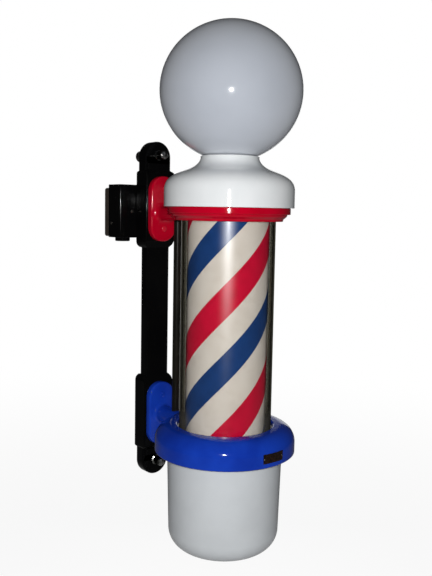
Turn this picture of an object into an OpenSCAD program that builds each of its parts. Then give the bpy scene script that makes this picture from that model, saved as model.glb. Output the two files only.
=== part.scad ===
// Barber pole with a globe lamp, on a cast wall rail.
// A geared motor in the bottom cup turns a striped drum inside a fixed glass cylinder.
// Origin: the middle of the back plate on the wall. +Z is up and the pole stands in front, at -Y.

/* [Pole] */
// Distance from the wall to the pole's axis
reach = 370; // [330:5:420]
// Height of the red collar's top face above the middle of the back plate
collar_top = 15; // [5:1:30]
// Free length of the glass cylinder
glass_len = 500; // [350:5:700]
// Outside diameter of the glass cylinder
glass_d = 203.2; // [199:0.2:205]
// Wall of the glass cylinder
glass_wall = 3; // [2:0.5:4]

/* [Globe] */
// Outside diameter of the opal globe
globe_d = 304.8; // [250:0.2:320]
// Height of the globe's full oval round
globe_h = 293; // [240:0.2:320]
// Wall of the globe
globe_wall = 3; // [2:0.5:4]
// Outside diameter of the globe's neck
globe_neck_d = 101.6; // [90:0.2:106]
// How deep the neck goes into its holder
globe_neck_depth = 20; // [14:1:24]

/* [Cap] */
// Diameter of the cap's skirt
cap_d = 281.4; // [276:0.2:300]
// Height of the cap from the collar to the lip of its neck
cap_h = 108.4; // [100:0.2:130]
// Diameter of the cap's neck at its lip
cap_neck_d = 125.4; // [123:0.2:132]
// Wall of the cap
cap_wall = 3; // [2:0.5:4]

/* [Red collar] */
// Diameter of the collar's upper band
band_d = 266; // [256:1:270]
// Height of the upper band
band_h = 14; // [10:0.5:20]
// Diameter at the top and at the foot of the cove under the band
cove_top_d = 252; // [244:1:254]
cove_foot_d = 234; // [224:1:242]
// Height of the cove
cove_h = 14.5; // [12:0.5:20]
// Thickness of the collar's flange over the glass
flange_t = 15; // [12:0.5:17]

/* [Blue collar] */
// Outside diameter of the ring
ring_d = 310; // [296:1:320]
// Height of the ring
ring_h = 59; // [54:0.5:66]
// Width of the flat between the glass bore and the ring's rounded shoulder
ring_land = 14.6; // [10:0.2:20]
// Height of the glass ledge above the ring's foot
ledge_h = 13.5; // [11:0.5:16]

/* [Bottom cup] */
// Diameter at the rim and at the foot
cup_rim_d = 254.4; // [248:0.2:258]
cup_foot_d = 245.4; // [236:0.2:247]
// Height of the cup
cup_h = 220.7; // [180:0.1:280]
// Radius of the cup's bottom corner
cup_round = 45.6; // [30:0.1:60]
// Wall of the cup
cup_wall = 3; // [2:0.5:4]

/* [Pads and arms] */
// Width, height and thickness of the oval pads
pad_w = 73; // [66:1:80]
pad_h = 156; // [140:1:160]
pad_t = 14.5; // [12:0.5:18]
// Rounding of a pad's front edge
pad_edge = 4; // [2:0.5:6]
// Corner radius of the pads
pad_corner = 35; // [20:1:36]
// Middle of the red pad below the red collar's top face
pad_drop = 5.3; // [0:0.1:10]
// Middle of the blue pad above the foot of the blue ring
pad_rise = 26.5; // [22:0.5:30]
// Distance from the middle of a pad to each of its two screws
pad_screw_rise = 47; // [40:1:54]
// Width and height of the red arm
red_arm_w = 46; // [38:1:54]
red_arm_h = 30; // [27:1:33]
// Diameter of the blue arm
blue_arm_d = 40; // [34:1:42]
// Diameter of the conduit tube between the arms
tube_d = 18; // [12:0.5:20]
// Distance from the pole's axis to the tube
tube_reach = 186.5; // [174:0.5:196]

/* [Wall rail] */
// Width and depth of the rail's bar
rail_w = 66; // [54:1:70]
rail_deep = 27; // [22:1:32]
// Width, depth and length of the two bosses, with their shoulders
boss_w = 84; // [80:1:92]
boss_deep = 46; // [40:1:52]
boss_len = 188; // [172:1:196]
// Height of a boss's shoulder towards the bar and towards the end lobe
shoulder = 18; // [12:1:22]
end_shoulder = 10; // [6:1:16]
// Diameter and depth of the end lobes
lobe_d = 74; // [68:1:82]
lobe_deep = 30; // [26:1:34]
// Distance from a boss's middle to the middle of its end lobe
lobe_off = 124.5; // [118:0.5:150]
// Height of the top lobe's bolt above the middle of its lobe
lobe_bolt_rise = 4; // [-6:0.5:8]

/* [Wall box] */
// Width, height and depth of the box
box_w = 177; // [164:1:190]
box_h = 128; // [118:1:140]
box_deep = 50.5; // [44:0.5:60]
// Middle of the box above the middle of the back plate
box_rise = 3; // [0:0.5:6]
// Wall of the box
box_wall = 4; // [3:0.5:5]
// Width, height and depth of the back plate
plate_w = 177; // [168:1:182]
plate_h = 118; // [110:1:120]
plate_deep = 17; // [12:0.5:22]
// Distances between the wall screws, across and up
wall_hole_x = 120; // [90:1:124]
wall_hole_z = 80; // [60:1:84]
// Diameter of the wall screw holes and of the cable entry
wall_hole_d = 7; // [5:0.5:9]
cable_d = 22; // [16:0.5:28]
// Middle of the cable entry above the middle of the back plate
cable_rise = 24; // [18:1:34]

/* [Drum and drive] */
// Outside diameter and wall of the drum's tube
drum_d = 177.4; // [166:0.2:178]
drum_wall = 1.5; // [1:0.1:2.5]
// Height in which a stripe goes once round the drum
stripe_lead = 589; // [400:1:800]
// Arc of each red and each blue stripe, in degrees
red_span_angle = 45.6; // [30:0.2:48]
blue_span_angle = 41.4; // [30:0.2:44]
// Angles of the first red and the first blue stripe at the drum's foot
red_start_angle = 39.2; // [0:0.2:180]
blue_start_angle = 126.2; // [0:0.2:180]
// Thickness of the stripes
stripe_t = 0.5; // [0.3:0.1:0.8]
// Teeth of the drum gear and of the pinion
gear_teeth = 60; // [56:4:60]
pinion_teeth = 16; // [14:2:16]
// Module of the teeth
gear_module = 1.5; // [1.4:0.05:1.5]
// Thickness of the drum gear
gear_t = 8; // [6:0.5:8]
// Diameter of the centre stem and of its bore
stem_d = 12.7; // [10:0.1:13]
stem_bore = 8; // [6:0.5:8]
// Diameters of the motor's gearbox and of its can
gearbox_d = 60; // [54:1:61]
can_d = 50; // [40:1:54]

/* [Hidden] */
$fn = 96;

// Clearances: seats that do not turn, running fits, and soft packing
seat_gap = 0.3;
run_gap = 0.1;
bolt_gap = 0.4;

// Stack from the wall to the pads
box_front = plate_deep + box_deep;
boss_front = box_front + boss_deep;
pad_front = boss_front + pad_t;
rail_mid = box_front + boss_deep / 2 + 0.5;
lobe_mid = rail_mid - 6;

// Stack down the pole, from the red collar to the foot of the cup
glass_gap = 3.8;
packing_t = 3;
glass_top = collar_top - flange_t - packing_t;
collar_foot = collar_top - band_h - cove_h;
glass_foot = glass_top - glass_len;
ledge_z = glass_foot - 2;
ring_foot = ledge_z - ledge_h;
ring_top = ring_foot + ring_h;
cup_foot = ring_foot - cup_h;
cap_lip = collar_top + cap_h;

red_pad_z = collar_top - pad_drop;
blue_pad_z = ring_foot + pad_rise;
red_arm_z = collar_top - 1 - red_arm_h / 2;

glass_bore_r = glass_d / 2 + glass_gap;
ring_round = ring_d / 2 - glass_bore_r - ring_land;
glass_in_r = glass_d / 2 - glass_wall;

// Centre stem and its nuts
stem_r = stem_d / 2;
nut_af = 22;
nut_h = 7;
nut_r = nut_af / 2 / cos(30);
plate_t = 3;
plate_r = glass_in_r - 1.4;
plate_top = ledge_z + plate_t;
holder_t = 2.5;
holder_z = cap_lip - globe_neck_depth - seat_gap - holder_t;
stem_top = holder_z + holder_t + nut_h + 4;
washer_t = 2;
washer_r = 18;
cup_nut_h = 17;
stem_foot = cup_foot - washer_t - 10;

// Globe: a slightly flattened round on a straight neck
globe_r = globe_d / 2;
neck_r = globe_neck_d / 2;
globe_foot = cap_lip - globe_neck_depth;
neck_top = cap_lip - 1.6;
globe_z = neck_top + globe_h / 2 * sqrt(1 - pow(neck_r / globe_r, 2));

// Drum, its turntable and its gears
gear_top = plate_top + 13;
gear_foot = gear_top - gear_t;
table_t = 4;
table_top = gear_top + table_t;
drum_r = drum_d / 2;
drum_in_r = drum_r - drum_wall;
lip_t = 1.5;
drum_foot = gear_top + lip_t;
drum_top = collar_top - flange_t - 8;
hoop_h = 8;
hub_r = 14;
bush_r = stem_r + 1.65;
hub_foot = plate_top + nut_h + 2.8;
hub_top = table_top + 15;
bush_flange_t = 2.5;
pressure_angle = 20;
gear_pitch_r = gear_teeth * gear_module / 2;
pinion_pitch_r = pinion_teeth * gear_module / 2;
mesh_gap = 0.12;
axle_off = gear_pitch_r + pinion_pitch_r + mesh_gap;
backlash = 0.3;
shaft_d = 6;
can_off = 13;
gearbox_x = axle_off - can_off;
gearbox_top = ledge_z - 6;
gearbox_h = 14;
can_h = 30;
motor_hole_y = 24;

// Lamp in the drum
tube_lamp_d = 25.4;
lamp_off = 45;
holder_h = 30;
holder_w = 24;
lower_holder_z = hub_top + 8;
lamp_headroom = 18;
upper_holder_z = drum_top - hoop_h - lamp_headroom - holder_h;

stripe_in_r = drum_r + 0.2;
stripe_out_r = stripe_in_r + stripe_t;
stripe_slices = 44;
stripe_steps = 6;

red = [0.71, 0.02, 0.15];
blue = [0.06, 0.2, 0.65];
navy = [0.1, 0.23, 0.43];
stripe_red = [0.78, 0.04, 0.2];
cream = [0.84, 0.8, 0.75];
white = [0.93, 0.93, 0.94];
black = [0.05, 0.05, 0.055];
steel = [0.7, 0.71, 0.73];
brass = [0.78, 0.62, 0.3];

// Points of an arc about [x, y], from angle a0 to a1
function arc(x, y, r, a0, a1, n = 12) =
  [for (i = [0:n]) let (a = a0 + (a1 - a0) * i / n) [x + r * cos(a), y + r * sin(a)]];

// Points on an oval round the axis, wide half across and high half up
function oval(z, wide, high, a0, a1, n) =
  [for (i = [0:n]) let (a = a0 + (a1 - a0) * i / n) [wide * cos(a), z + high * sin(a)]];

// Points of a cubic curve with two end points and two handles
function curve(a, b, c, d, n = 12) =
  [for (i = [0:n]) let (t = i / n, s = 1 - t)
    s * s * s * a + 3 * s * s * t * b + 3 * s * t * t * c + t * t * t * d];

function shift(points, by) = [for (p = points) p + by];
function flip(points) = [for (i = [len(points) - 1:-1:0]) points[i]];

// Puts its children on the pole's axis
module at_pole(z = 0) { translate([0, -reach, z]) children(); }

// Turns a profile that is drawn as [radius, height] about the vertical
module turned(points) { rotate_extrude() polygon(points); }

// Turns its children so that their +Z points away from the wall, with z still up in the drawing
module facing_front(y, z, x = 0) { translate([x, -y, z]) rotate([90, 0, 0]) children(); }

module ring(r_out, r_in, h) {
  difference() {
    cylinder(r = r_out, h = h);
    translate([0, 0, -1]) cylinder(r = r_in, h = h + 2);
  }
}

module hex_nut(bore_r, h = nut_h, af = nut_af) {
  difference() {
    cylinder(r = af / 2 / cos(30), h = h, $fn = 6);
    translate([0, 0, -1]) cylinder(r = bore_r, h = h + 2);
  }
}

// Round-headed screw: its head rises from z = 0 and its shank goes down
module round_screw(head_d, head_h, shank_d, shank_len) {
  slot = max(0.8, head_d * 0.12);
  difference() {
    union() {
      rotate_extrude()
        polygon(concat([[0, 0], [head_d / 2, 0], [head_d / 2, head_h * 0.3]],
          curve([head_d / 2, head_h * 0.3], [head_d / 2, head_h * 0.75],
            [head_d / 3.2, head_h], [0, head_h], 8)));
      translate([0, 0, -shank_len]) cylinder(d = shank_d, h = shank_len + 0.01);
    }
    translate([-head_d, -slot / 2, head_h * 0.62]) cube([head_d * 2, slot, head_h]);
  }
}

// Rectangle with round corners, drawn about its middle
module soft_rect(w, h, r) {
  polygon(concat(
    arc(w / 2 - r, h / 2 - r, r, 0, 90, 6), arc(-w / 2 + r, h / 2 - r, r, 90, 180, 6),
    arc(-w / 2 + r, -h / 2 + r, r, 180, 270, 6), arc(w / 2 - r, -h / 2 + r, r, 270, 360, 6)));
}

// Oblong pad that lies on z = 0, with round corners and a rounded edge round its upper face
module oblong_pad(w, h, t, corner, edge) {
  dx = w / 2 - corner;
  dy = h / 2 - corner;
  half = concat([[0, 0], [corner, 0]], arc(corner - edge, t - edge, edge, 0, 90, 6), [[0, t]]);
  for (sx = [-1, 1], sy = [-1, 1])
    translate([sx * dx, sy * dy, 0]) rotate_extrude() polygon(half);
  pad_band(shift(half, [dx, 0]), dy);
  rotate([0, 0, 90]) pad_band(shift(half, [dy, 0]), dx);
}

// Straight run of a pad's section, from -run to run along Y
module pad_band(half, run) {
  translate([0, run, 0]) rotate([90, 0, 0]) linear_extrude(2 * run)
    polygon(concat(half, [for (p = flip(half)) [-p[0], p[1]]]));
}

// Angle, in degrees, that an involute has turned through at radius r
function involute(base_r, r) =
  let (a = acos(min(1, base_r / r))) tan(a) * 180 / PI - a;

function polar(r, a) = [r * cos(a), r * sin(a)];

// Outline of a spur gear with involute flanks, a tooth centred on +X
function gear_outline(teeth, m) =
  let (
    pitch_r = teeth * m / 2,
    base_r = pitch_r * cos(pressure_angle),
    tip_r = pitch_r + 0.92 * m,
    root_r = pitch_r - 1.25 * m,
    start_r = max(base_r, root_r + 0.2 * m),
    half = 90 / teeth + involute(base_r, pitch_r) - backlash / 2 / pitch_r * 180 / PI,
    foot_half = half + 18 / teeth,
    steps = 5,
    radii = [for (i = [0:steps]) start_r + (tip_r - start_r) * i / steps]
  )
  [for (k = [0:teeth - 1]) let (mid = k * 360 / teeth)
    each concat(
      [polar(root_r, mid - foot_half)],
      [for (r = radii) polar(r, mid - half + involute(base_r, r))],
      [for (r = flip(radii)) polar(r, mid + half - involute(base_r, r))],
      [polar(root_r, mid + foot_half)])];

// Wall side

// Conduit hub: its size, its place, and how far it stands below the box
hub_d = 36;
hub_x = -61;
hub_y = 38;
hub_drop = 9;
hub_thread_d = hub_d - 8;

// Screws of the box, and the tabs they thread into
side_screw_d = 4;
side_screw_y = 31.5;
side_screw_z = -26;
front_screw_d = 5;
front_screw_x = 52.4;
tab_t = 3;
tab_h = 24;

plate_back_t = 5;
plate_rim_t = 5;
rail_bolt_d = 8;
rail_bolt_z = 30;
rail_bolt_af = 13;
rail_bolt_head_h = 5.5;
rail_bolt_len = 24;
wireway_d = 18;
wireway_z = red_arm_z + 1;

// Tab that stands in the back plate and that a side screw of the box threads into
module side_tab() {
  outer = box_w / 2 - box_wall - seat_gap;
  tab_reach = side_screw_y + side_screw_d * 2;
  translate([outer - tab_t, -tab_reach, side_screw_z - tab_h / 2])
    cube([tab_t, tab_reach - plate_back_t + 1, tab_h]);
}

module back_plate() {
  pocket_w = plate_w - 2 * plate_rim_t;
  pocket_h = plate_h - 2 * plate_rim_t;
  corner_r = 6;
  color(black) difference() {
    union() {
      difference() {
        facing_front(0, 0) linear_extrude(plate_deep) soft_rect(plate_w, plate_h, corner_r);
        facing_front(plate_back_t, 0) linear_extrude(plate_deep)
          soft_rect(pocket_w, pocket_h, corner_r - 2);
      }
      side_tab();
      mirror([1, 0, 0]) side_tab();
    }
    for (x = [-1, 1], z = [-1, 1])
      facing_front(-1, z * wall_hole_z / 2, x * wall_hole_x / 2)
        cylinder(d = wall_hole_d, h = plate_back_t + 2);
    facing_front(-1, cable_rise) cylinder(d = cable_d, h = plate_back_t + 2);
    translate([-box_w, -side_screw_y, side_screw_z]) rotate([0, 90, 0])
      cylinder(d = side_screw_d, h = 2 * box_w);
  }
}

module wall_box() {
  round_r = 8;
  floor_z = box_rise - box_h / 2;
  cut_y = box_front - box_wall - 1;
  cut_h = box_wall + 2;
  color(black) difference() {
    translate([0, 0, floor_z]) linear_extrude(box_h)
      polygon(concat([[-box_w / 2, -plate_deep]],
        arc(-box_w / 2 + round_r, -box_front + round_r, round_r, 180, 270, 8),
        arc(box_w / 2 - round_r, -box_front + round_r, round_r, 270, 360, 8),
        [[box_w / 2, -plate_deep]]));
    translate([-box_w / 2 + box_wall, -box_front + box_wall, floor_z + box_wall])
      cube([box_w - 2 * box_wall, box_deep, box_h - 2 * box_wall]);
    for (s = [-1, 1]) {
      facing_front(cut_y, red_pad_z + s * rail_bolt_z) cylinder(d = rail_bolt_d + bolt_gap, h = cut_h);
      facing_front(cut_y, box_rise, s * front_screw_x) cylinder(d = front_screw_d + bolt_gap, h = cut_h);
      translate([s * (box_w / 2 - box_wall / 2), -side_screw_y, side_screw_z]) rotate([0, 90, 0])
        cylinder(d = side_screw_d + bolt_gap, h = cut_h, center = true);
    }
    facing_front(cut_y, wireway_z) cylinder(d = wireway_d, h = cut_h);
    translate([hub_x, -hub_y, floor_z - 1]) cylinder(d = hub_thread_d, h = cut_h);
  }
}

module box_side_screws() {
  color(steel) for (s = [-1, 1])
    translate([s * box_w / 2, -side_screw_y, side_screw_z]) rotate([0, s * 90, 0])
      round_screw(2 * side_screw_d, 0.65 * side_screw_d, side_screw_d - run_gap, box_wall + tab_t + 2);
}

module box_front_screws() {
  color(steel) for (s = [-1, 1])
    facing_front(box_front, box_rise, s * front_screw_x)
      round_screw(1.8 * front_screw_d, 0.6 * front_screw_d, front_screw_d, 2 * box_wall);
}

// Threaded conduit hub under the box, closed by a plug
module conduit_hub() {
  edge = 2;
  key_d = 12;
  key_deep = 4;
  thread_in = 6;
  color(black) translate([hub_x, -hub_y, box_rise - box_h / 2]) difference() {
    union() {
      translate([0, 0, -hub_drop]) turned(concat([[0, 0]],
        arc(hub_d / 2 - edge, edge, edge, 270, 360, 5), [[hub_d / 2, hub_drop], [0, hub_drop]]));
      cylinder(d = hub_thread_d - bolt_gap, h = box_wall + thread_in);
    }
    translate([0, 0, -hub_drop - 1]) cylinder(d = key_d, h = key_deep + 1, $fn = 6);
  }
}

module rail_bolts() {
  color(steel) for (s = [-1, 1])
    translate([0, -box_front + box_wall, red_pad_z + s * rail_bolt_z]) rotate([-90, 0, 0]) {
      cylinder(r = rail_bolt_af / 2 / cos(30), h = rail_bolt_head_h, $fn = 6);
      translate([0, 0, -rail_bolt_len]) cylinder(d = rail_bolt_d, h = rail_bolt_len);
    }
}

// Height above a boss's middle of each end of its straight flanks; the end lobe is at +Z
boss_half = boss_len / 2;
boss_edge = 1.5;
flank_top = boss_half - end_shoulder;
flank_foot = shoulder - boss_half;

// Front outline of a boss: straight flanks that round off to the rail's width
module boss_front_view() {
  side = concat(
    curve([rail_w / 2, boss_half], [rail_w / 2 + 2, boss_half - end_shoulder * 0.4],
      [boss_w / 2, boss_half - end_shoulder * 0.3], [boss_w / 2, flank_top], 6),
    curve([boss_w / 2, flank_foot], [boss_w / 2, flank_foot - shoulder * 0.75],
      [rail_w / 2 + 4, flank_foot - shoulder * 0.7], [rail_w / 2, -boss_half], 6));
  polygon(concat(side, [for (p = flip(side)) [-p[0], p[1]]]));
}

// Side outline of a boss, drawn as [distance from the wall, height]
module boss_side_view() {
  rail_back = rail_mid - rail_deep / 2;
  rail_front = rail_mid + rail_deep / 2;
  polygon([
    [rail_back, boss_half], [box_front, boss_half - boss_edge],
    [box_front, boss_edge - boss_half], [rail_back, -boss_half],
    [rail_front, -boss_half], [boss_front, flank_foot], [boss_front, flank_top],
    [rail_front, boss_half]]);
}

module rail_boss() {
  intersection() {
    facing_front(box_front - 1, 0) linear_extrude(boss_deep + 2) boss_front_view();
    rotate([90, 0, -90]) translate([0, 0, -boss_w]) linear_extrude(2 * boss_w) boss_side_view();
  }
}

top_lobe_z = red_pad_z + lobe_off;
foot_lobe_z = blue_pad_z - lobe_off;
lobe_back = lobe_mid - lobe_deep / 2;
lobe_front = lobe_mid + lobe_deep / 2;
lobe_edge = 3;
lobe_bite = 16;
bar_edge = 5;
stud_d = 10;
lobe_nut_af = 19;
lobe_nut_h = 8;
pad_screw_d = 8;
pad_screw_in = 20;
pad_screw_head_d = 14;
pad_screw_head_h = 3.2;

// Round-ended lobe: a disc at height z, and a slab of the same section as far as the boss's end
module lobe(z, boss_end) {
  flat_r = lobe_d / 2 - lobe_edge;
  facing_front(lobe_back, z) turned(concat([[0, 0]],
    arc(flat_r, lobe_edge, lobe_edge, 270, 360, 6),
    arc(flat_r, lobe_deep - lobe_edge, lobe_edge, 0, 90, 6), [[0, lobe_deep]]));
  translate([0, -lobe_mid, min(z, boss_end)]) linear_extrude(abs(z - boss_end))
    soft_rect(lobe_d, lobe_deep, lobe_edge);
}

module wall_rail() {
  color(black) difference() {
    union() {
      translate([0, -rail_mid, foot_lobe_z + lobe_bite])
        linear_extrude(top_lobe_z - foot_lobe_z - 2 * lobe_bite) soft_rect(rail_w, rail_deep, bar_edge);
      translate([0, 0, red_pad_z]) rail_boss();
      translate([0, 0, blue_pad_z]) mirror([0, 0, 1]) rail_boss();
      lobe(top_lobe_z, red_pad_z + flank_top);
      lobe(foot_lobe_z, blue_pad_z - flank_top);
    }
    for (z = [top_lobe_z + lobe_bolt_rise, foot_lobe_z])
      facing_front(lobe_back - 1, z) cylinder(d = stud_d + bolt_gap, h = rail_mid + rail_deep);
    for (z = [red_pad_z, blue_pad_z], s = [-1, 1])
      facing_front(boss_front - pad_screw_in - 4, z + s * pad_screw_rise)
        cylinder(d = pad_screw_d, h = pad_screw_in + 5);
    for (s = [-1, 1])
      facing_front(box_front - 1, red_pad_z + s * rail_bolt_z)
        cylinder(d = rail_bolt_d, h = rail_bolt_len);
    facing_front(box_front - 1, wireway_z) cylinder(d = wireway_d, h = boss_deep + 2);
  }
}

// Studs through the lobes, each with a washer, a nut and a domed cap in front
module lobe_bolts() {
  washer_h = 3;
  washer_r = 12.5;
  nut_top = washer_h + 7;
  cap_r = 10.5;
  dome_h = 20;
  cap_top = nut_top + dome_h;
  tail = 14;
  color(black) for (z = [top_lobe_z + lobe_bolt_rise, foot_lobe_z])
    facing_front(lobe_front, z) {
      cylinder(r = washer_r, h = washer_h);
      cylinder(r = lobe_nut_af / 2 / cos(30), h = nut_top, $fn = 6);
      turned(concat([[0, nut_top], [cap_r, nut_top]],
        curve([cap_r, cap_top - 6], [cap_r, cap_top - 2], [6, cap_top], [0, cap_top], 8)));
      translate([0, 0, -lobe_deep - tail]) cylinder(d = stud_d, h = lobe_deep + tail + 1);
    }
}

spacer_len = 50;
spacer_r = 14;
spacer_thread = 15;

// Long spacer nut behind the top lobe, and a plain nut behind the bottom one
module lobe_spacers() {
  edge = 3;
  color(black) {
    facing_front(lobe_back - spacer_len, top_lobe_z + lobe_bolt_rise) difference() {
      turned(concat([[0, 0]], arc(spacer_r - edge, edge, edge, 270, 360, 5),
        [[spacer_r, spacer_len], [0, spacer_len]]));
      translate([0, 0, spacer_len - spacer_thread])
        cylinder(d = stud_d + bolt_gap, h = spacer_thread + 1);
    }
    facing_front(lobe_back - lobe_nut_h, foot_lobe_z)
      hex_nut((stud_d + bolt_gap) / 2, lobe_nut_h, lobe_nut_af);
  }
}

module pad_screws(z) {
  for (s = [-1, 1])
    facing_front(pad_front, z + s * pad_screw_rise)
      round_screw(pad_screw_head_d, pad_screw_head_h, pad_screw_d - bolt_gap, pad_t + pad_screw_in);
}
module red_pad_screws() { color(red) pad_screws(red_pad_z); }
module blue_pad_screws() { color(blue) pad_screws(blue_pad_z); }

// Castings

module pad_at(z) { facing_front(boss_front, z) oblong_pad(pad_w, pad_h, pad_t, pad_corner, pad_edge); }
module pad_holes(z) {
  for (s = [-1, 1])
    facing_front(boss_front - 1, z + s * pad_screw_rise)
      cylinder(d = pad_screw_d + bolt_gap, h = pad_t + 2);
}

// Spider inside the red collar, and the wire passages through both arms
spider_hub_r = 18;
spider_w = 14;
spider_t = 11;
flange_in_r = 80;
wire_d = 14;
tube_depth = 8;
tube_wall = 2;
flare = 6;
red_arm_edge = 12;

module upper_collar() {
  edge = 2;
  flange_foot = collar_top - flange_t;
  arm_len = reach - glass_bore_r - flare - boss_front;
  arm_foot = red_arm_z - red_arm_h / 2;
  color(red) difference() {
    union() {
      at_pole(0) turned(concat(
        [[flange_in_r, flange_foot], [glass_bore_r, flange_foot], [glass_bore_r, collar_foot],
          [cove_foot_d / 2 - 1, collar_foot]],
        curve([cove_foot_d / 2, collar_foot + 1], [cove_foot_d / 2, collar_foot + cove_h * 0.5],
          [cove_top_d / 2, collar_foot + cove_h * 0.5], [cove_top_d / 2, collar_foot + cove_h], 8),
        arc(band_d / 2 - edge, collar_top - band_h + edge, edge, 270, 360, 5),
        arc(band_d / 2 - edge, collar_top - edge, edge, 0, 90, 5), [[flange_in_r, collar_top]]));
      at_pole(flange_foot) {
        cylinder(r = spider_hub_r, h = flange_t);
        for (a = [45:90:315]) rotate([0, 0, a]) translate([0, -spider_w / 2, 0])
          cube([flange_in_r + 4, spider_w, spider_t]);
      }
      pad_at(red_pad_z);
      facing_front(boss_front + 2, red_arm_z) linear_extrude(arm_len)
        soft_rect(red_arm_w, red_arm_h, red_arm_edge);
      facing_front(pad_front, red_arm_z) red_flare();
    }
    pad_holes(red_pad_z);
    at_pole(flange_foot - 1) cylinder(r = stem_r + run_gap, h = flange_t + 2);
    at_pole(collar_foot - cove_h) ring(glass_bore_r, spider_hub_r, flange_foot - collar_foot + cove_h);
    translate([0, -reach + tube_reach, arm_foot - 1]) cylinder(d = tube_d + bolt_gap, h = tube_depth + 1);
    translate([0, -reach + tube_reach, arm_foot])
      cylinder(d = tube_d - 2 * tube_wall, h = red_arm_h / 2 + 2);
    facing_front(boss_front - 1, wireway_z) cylinder(d = wire_d, h = reach - flange_in_r - boss_front + 10);
  }
}

// Cast foot of the red arm: steps along a hollow quarter circle
module red_flare() {
  steps = 6;
  for (i = [0:steps - 1])
    let (grow = 2 * flare * (1 - sin(90 * (i + 0.5) / steps)))
      linear_extrude(flare * (1 - cos(90 * (i + 1) / steps)))
        soft_rect(red_arm_w + grow, red_arm_h + grow, red_arm_edge + grow / 2);
}

// The blue ring is a hollow casting, open at the foot outside the cup's seat
skirt_t = 6;
channel_r = ring_d / 2 - skirt_t;
inner_wall_t = 5.5;
web_t = 7.5;
cup_seat_r = cup_rim_d / 2 + 5;
ledge_in_r = glass_in_r - 12.6;
cup_wire_d = 10;
cup_wire_r = glass_bore_r + inner_wall_t + cup_wire_d / 2 + 1.5;

module lower_collar() {
  edge = 3;
  mouth = 3.5;
  fillet = 8;
  round_z = ring_top - ring_round;
  round_r = ring_d / 2 - ring_round;
  arm_r = blue_arm_d / 2;
  color(blue) difference() {
    union() {
      at_pole(0) turned(concat(
        [[ledge_in_r, ring_foot]], arc(ring_d / 2 - edge, ring_foot + edge, edge, 270, 360, 5),
        arc(round_r, round_z, ring_round, 0, 90, 16),
        arc(glass_bore_r + mouth, ring_top - mouth, mouth, 90, 180, 5),
        [[glass_bore_r, ledge_z], [ledge_in_r, ledge_z]]));
      pad_at(blue_pad_z);
      facing_front(boss_front + 2, blue_pad_z) cylinder(r = arm_r, h = reach - round_r - boss_front);
      facing_front(pad_front - 0.5, blue_pad_z)
        turned(concat([[0, 0], [arm_r + fillet, 0]],
          arc(arm_r + fillet, fillet + 0.5, fillet, 270, 180, 8), [[0, fillet + 0.5]]));
    }
    at_pole(0) turned(concat(
      [[cup_seat_r, ring_foot - 1], [cup_seat_r, ring_foot + web_t],
        [glass_bore_r + inner_wall_t, ring_foot + web_t], [glass_bore_r + inner_wall_t, ring_top - 10]],
      arc(round_r, round_z, ring_round - skirt_t, 90, 0, 12), [[channel_r, ring_foot - 1]]));
    pad_holes(blue_pad_z);
    facing_front(boss_front - 1, blue_pad_z) cylinder(d = wire_d, h = reach - channel_r - boss_front + 10);
    translate([0, -reach + tube_reach, blue_pad_z + arm_r - tube_depth])
      cylinder(d = tube_d + bolt_gap, h = arm_r);
    translate([0, -reach + tube_reach, blue_pad_z]) cylinder(d = tube_d - 2 * tube_wall, h = arm_r);
    for (a = [45:90:315])
      at_pole(ring_foot - 1) rotate([0, 0, a]) translate([plate_screw_r, 0, 0])
        cylinder(d = plate_screw_d, h = ledge_h + 2);
    translate([0, -reach + cup_wire_r, ring_foot - 1]) cylinder(d = cup_wire_d, h = web_t + 2);
  }
}

module conduit_tube() {
  top_z = red_arm_z - red_arm_h / 2 + tube_depth;
  foot_z = blue_pad_z + blue_arm_d / 2 - tube_depth;
  color([0.2, 0.13, 0.1]) translate([0, -reach + tube_reach, foot_z])
    ring(tube_d / 2, tube_d / 2 - tube_wall, top_z - foot_z);
}

name_w = 55;
name_h = 20;
name_t = 1.2;
name_z = ring_foot + 0.35 * ring_h;
name_turn = 1.4;
name_r = ring_d / 2 + 0.05;
rivet_r = 1.2;
rivet_head_r = 2.4;
rivet_head_h = 1.6;
rivet_in = 2.8;

// The rivets' places on the plate's back; +Z is outwards
module rivet_places() {
  turn = (name_w / 2 - rivet_in) / ring_d * 360 / PI;
  for (s = [-1, 1])
    at_pole(name_z) rotate([0, 0, 270 + name_turn + s * turn]) translate([name_r, 0, 0])
      rotate([0, 90, 0]) children();
}

// Blank plate, curved to the ring
module nameplate() {
  half = name_w / ring_d * 180 / PI;
  color([0.1, 0.09, 0.1]) difference() {
    at_pole(name_z - name_h / 2) rotate([0, 0, 270 + name_turn - half])
      rotate_extrude(angle = 2 * half) translate([name_r, 0]) square([name_t, name_h]);
    rivet_places() translate([0, 0, -1]) cylinder(r = rivet_r + run_gap, h = name_t + 2);
  }
}

module nameplate_rivets() {
  color(steel) rivet_places() {
    cylinder(r = rivet_r, h = name_t + 0.1);
    translate([0, 0, name_t + 0.02])
      turned(concat([[0, 0]], curve([rivet_head_r, 0], [rivet_head_r, rivet_head_h / 2],
        [0.75 * rivet_head_r, rivet_head_h], [0, rivet_head_h], 5)));
  }
}

// Glass and its packings

module glass_cylinder() {
  edge = glass_wall / 2;
  color([0.8, 0.85, 0.86, 0.35]) at_pole(glass_foot)
    turned(concat(arc(glass_in_r + edge, edge, edge, 180, 360, 8),
      arc(glass_in_r + edge, glass_len - edge, edge, 0, 180, 8)));
}

// How far the upper packing reaches down the glass, and the lower one stays under the ring's top
packing_skirt = 8;
packing_drop = 9;

module upper_gasket() {
  packing_h = packing_t + packing_skirt;
  color([0.85, 0.85, 0.82]) at_pole(glass_top - packing_skirt) difference() {
    cylinder(r = glass_bore_r - seat_gap, h = packing_h);
    translate([0, 0, -1]) cylinder(r = glass_in_r - 2, h = packing_h + 2);
    translate([0, 0, -1]) ring(glass_d / 2 + run_gap, glass_in_r - run_gap, packing_skirt + 1);
  }
}

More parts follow.
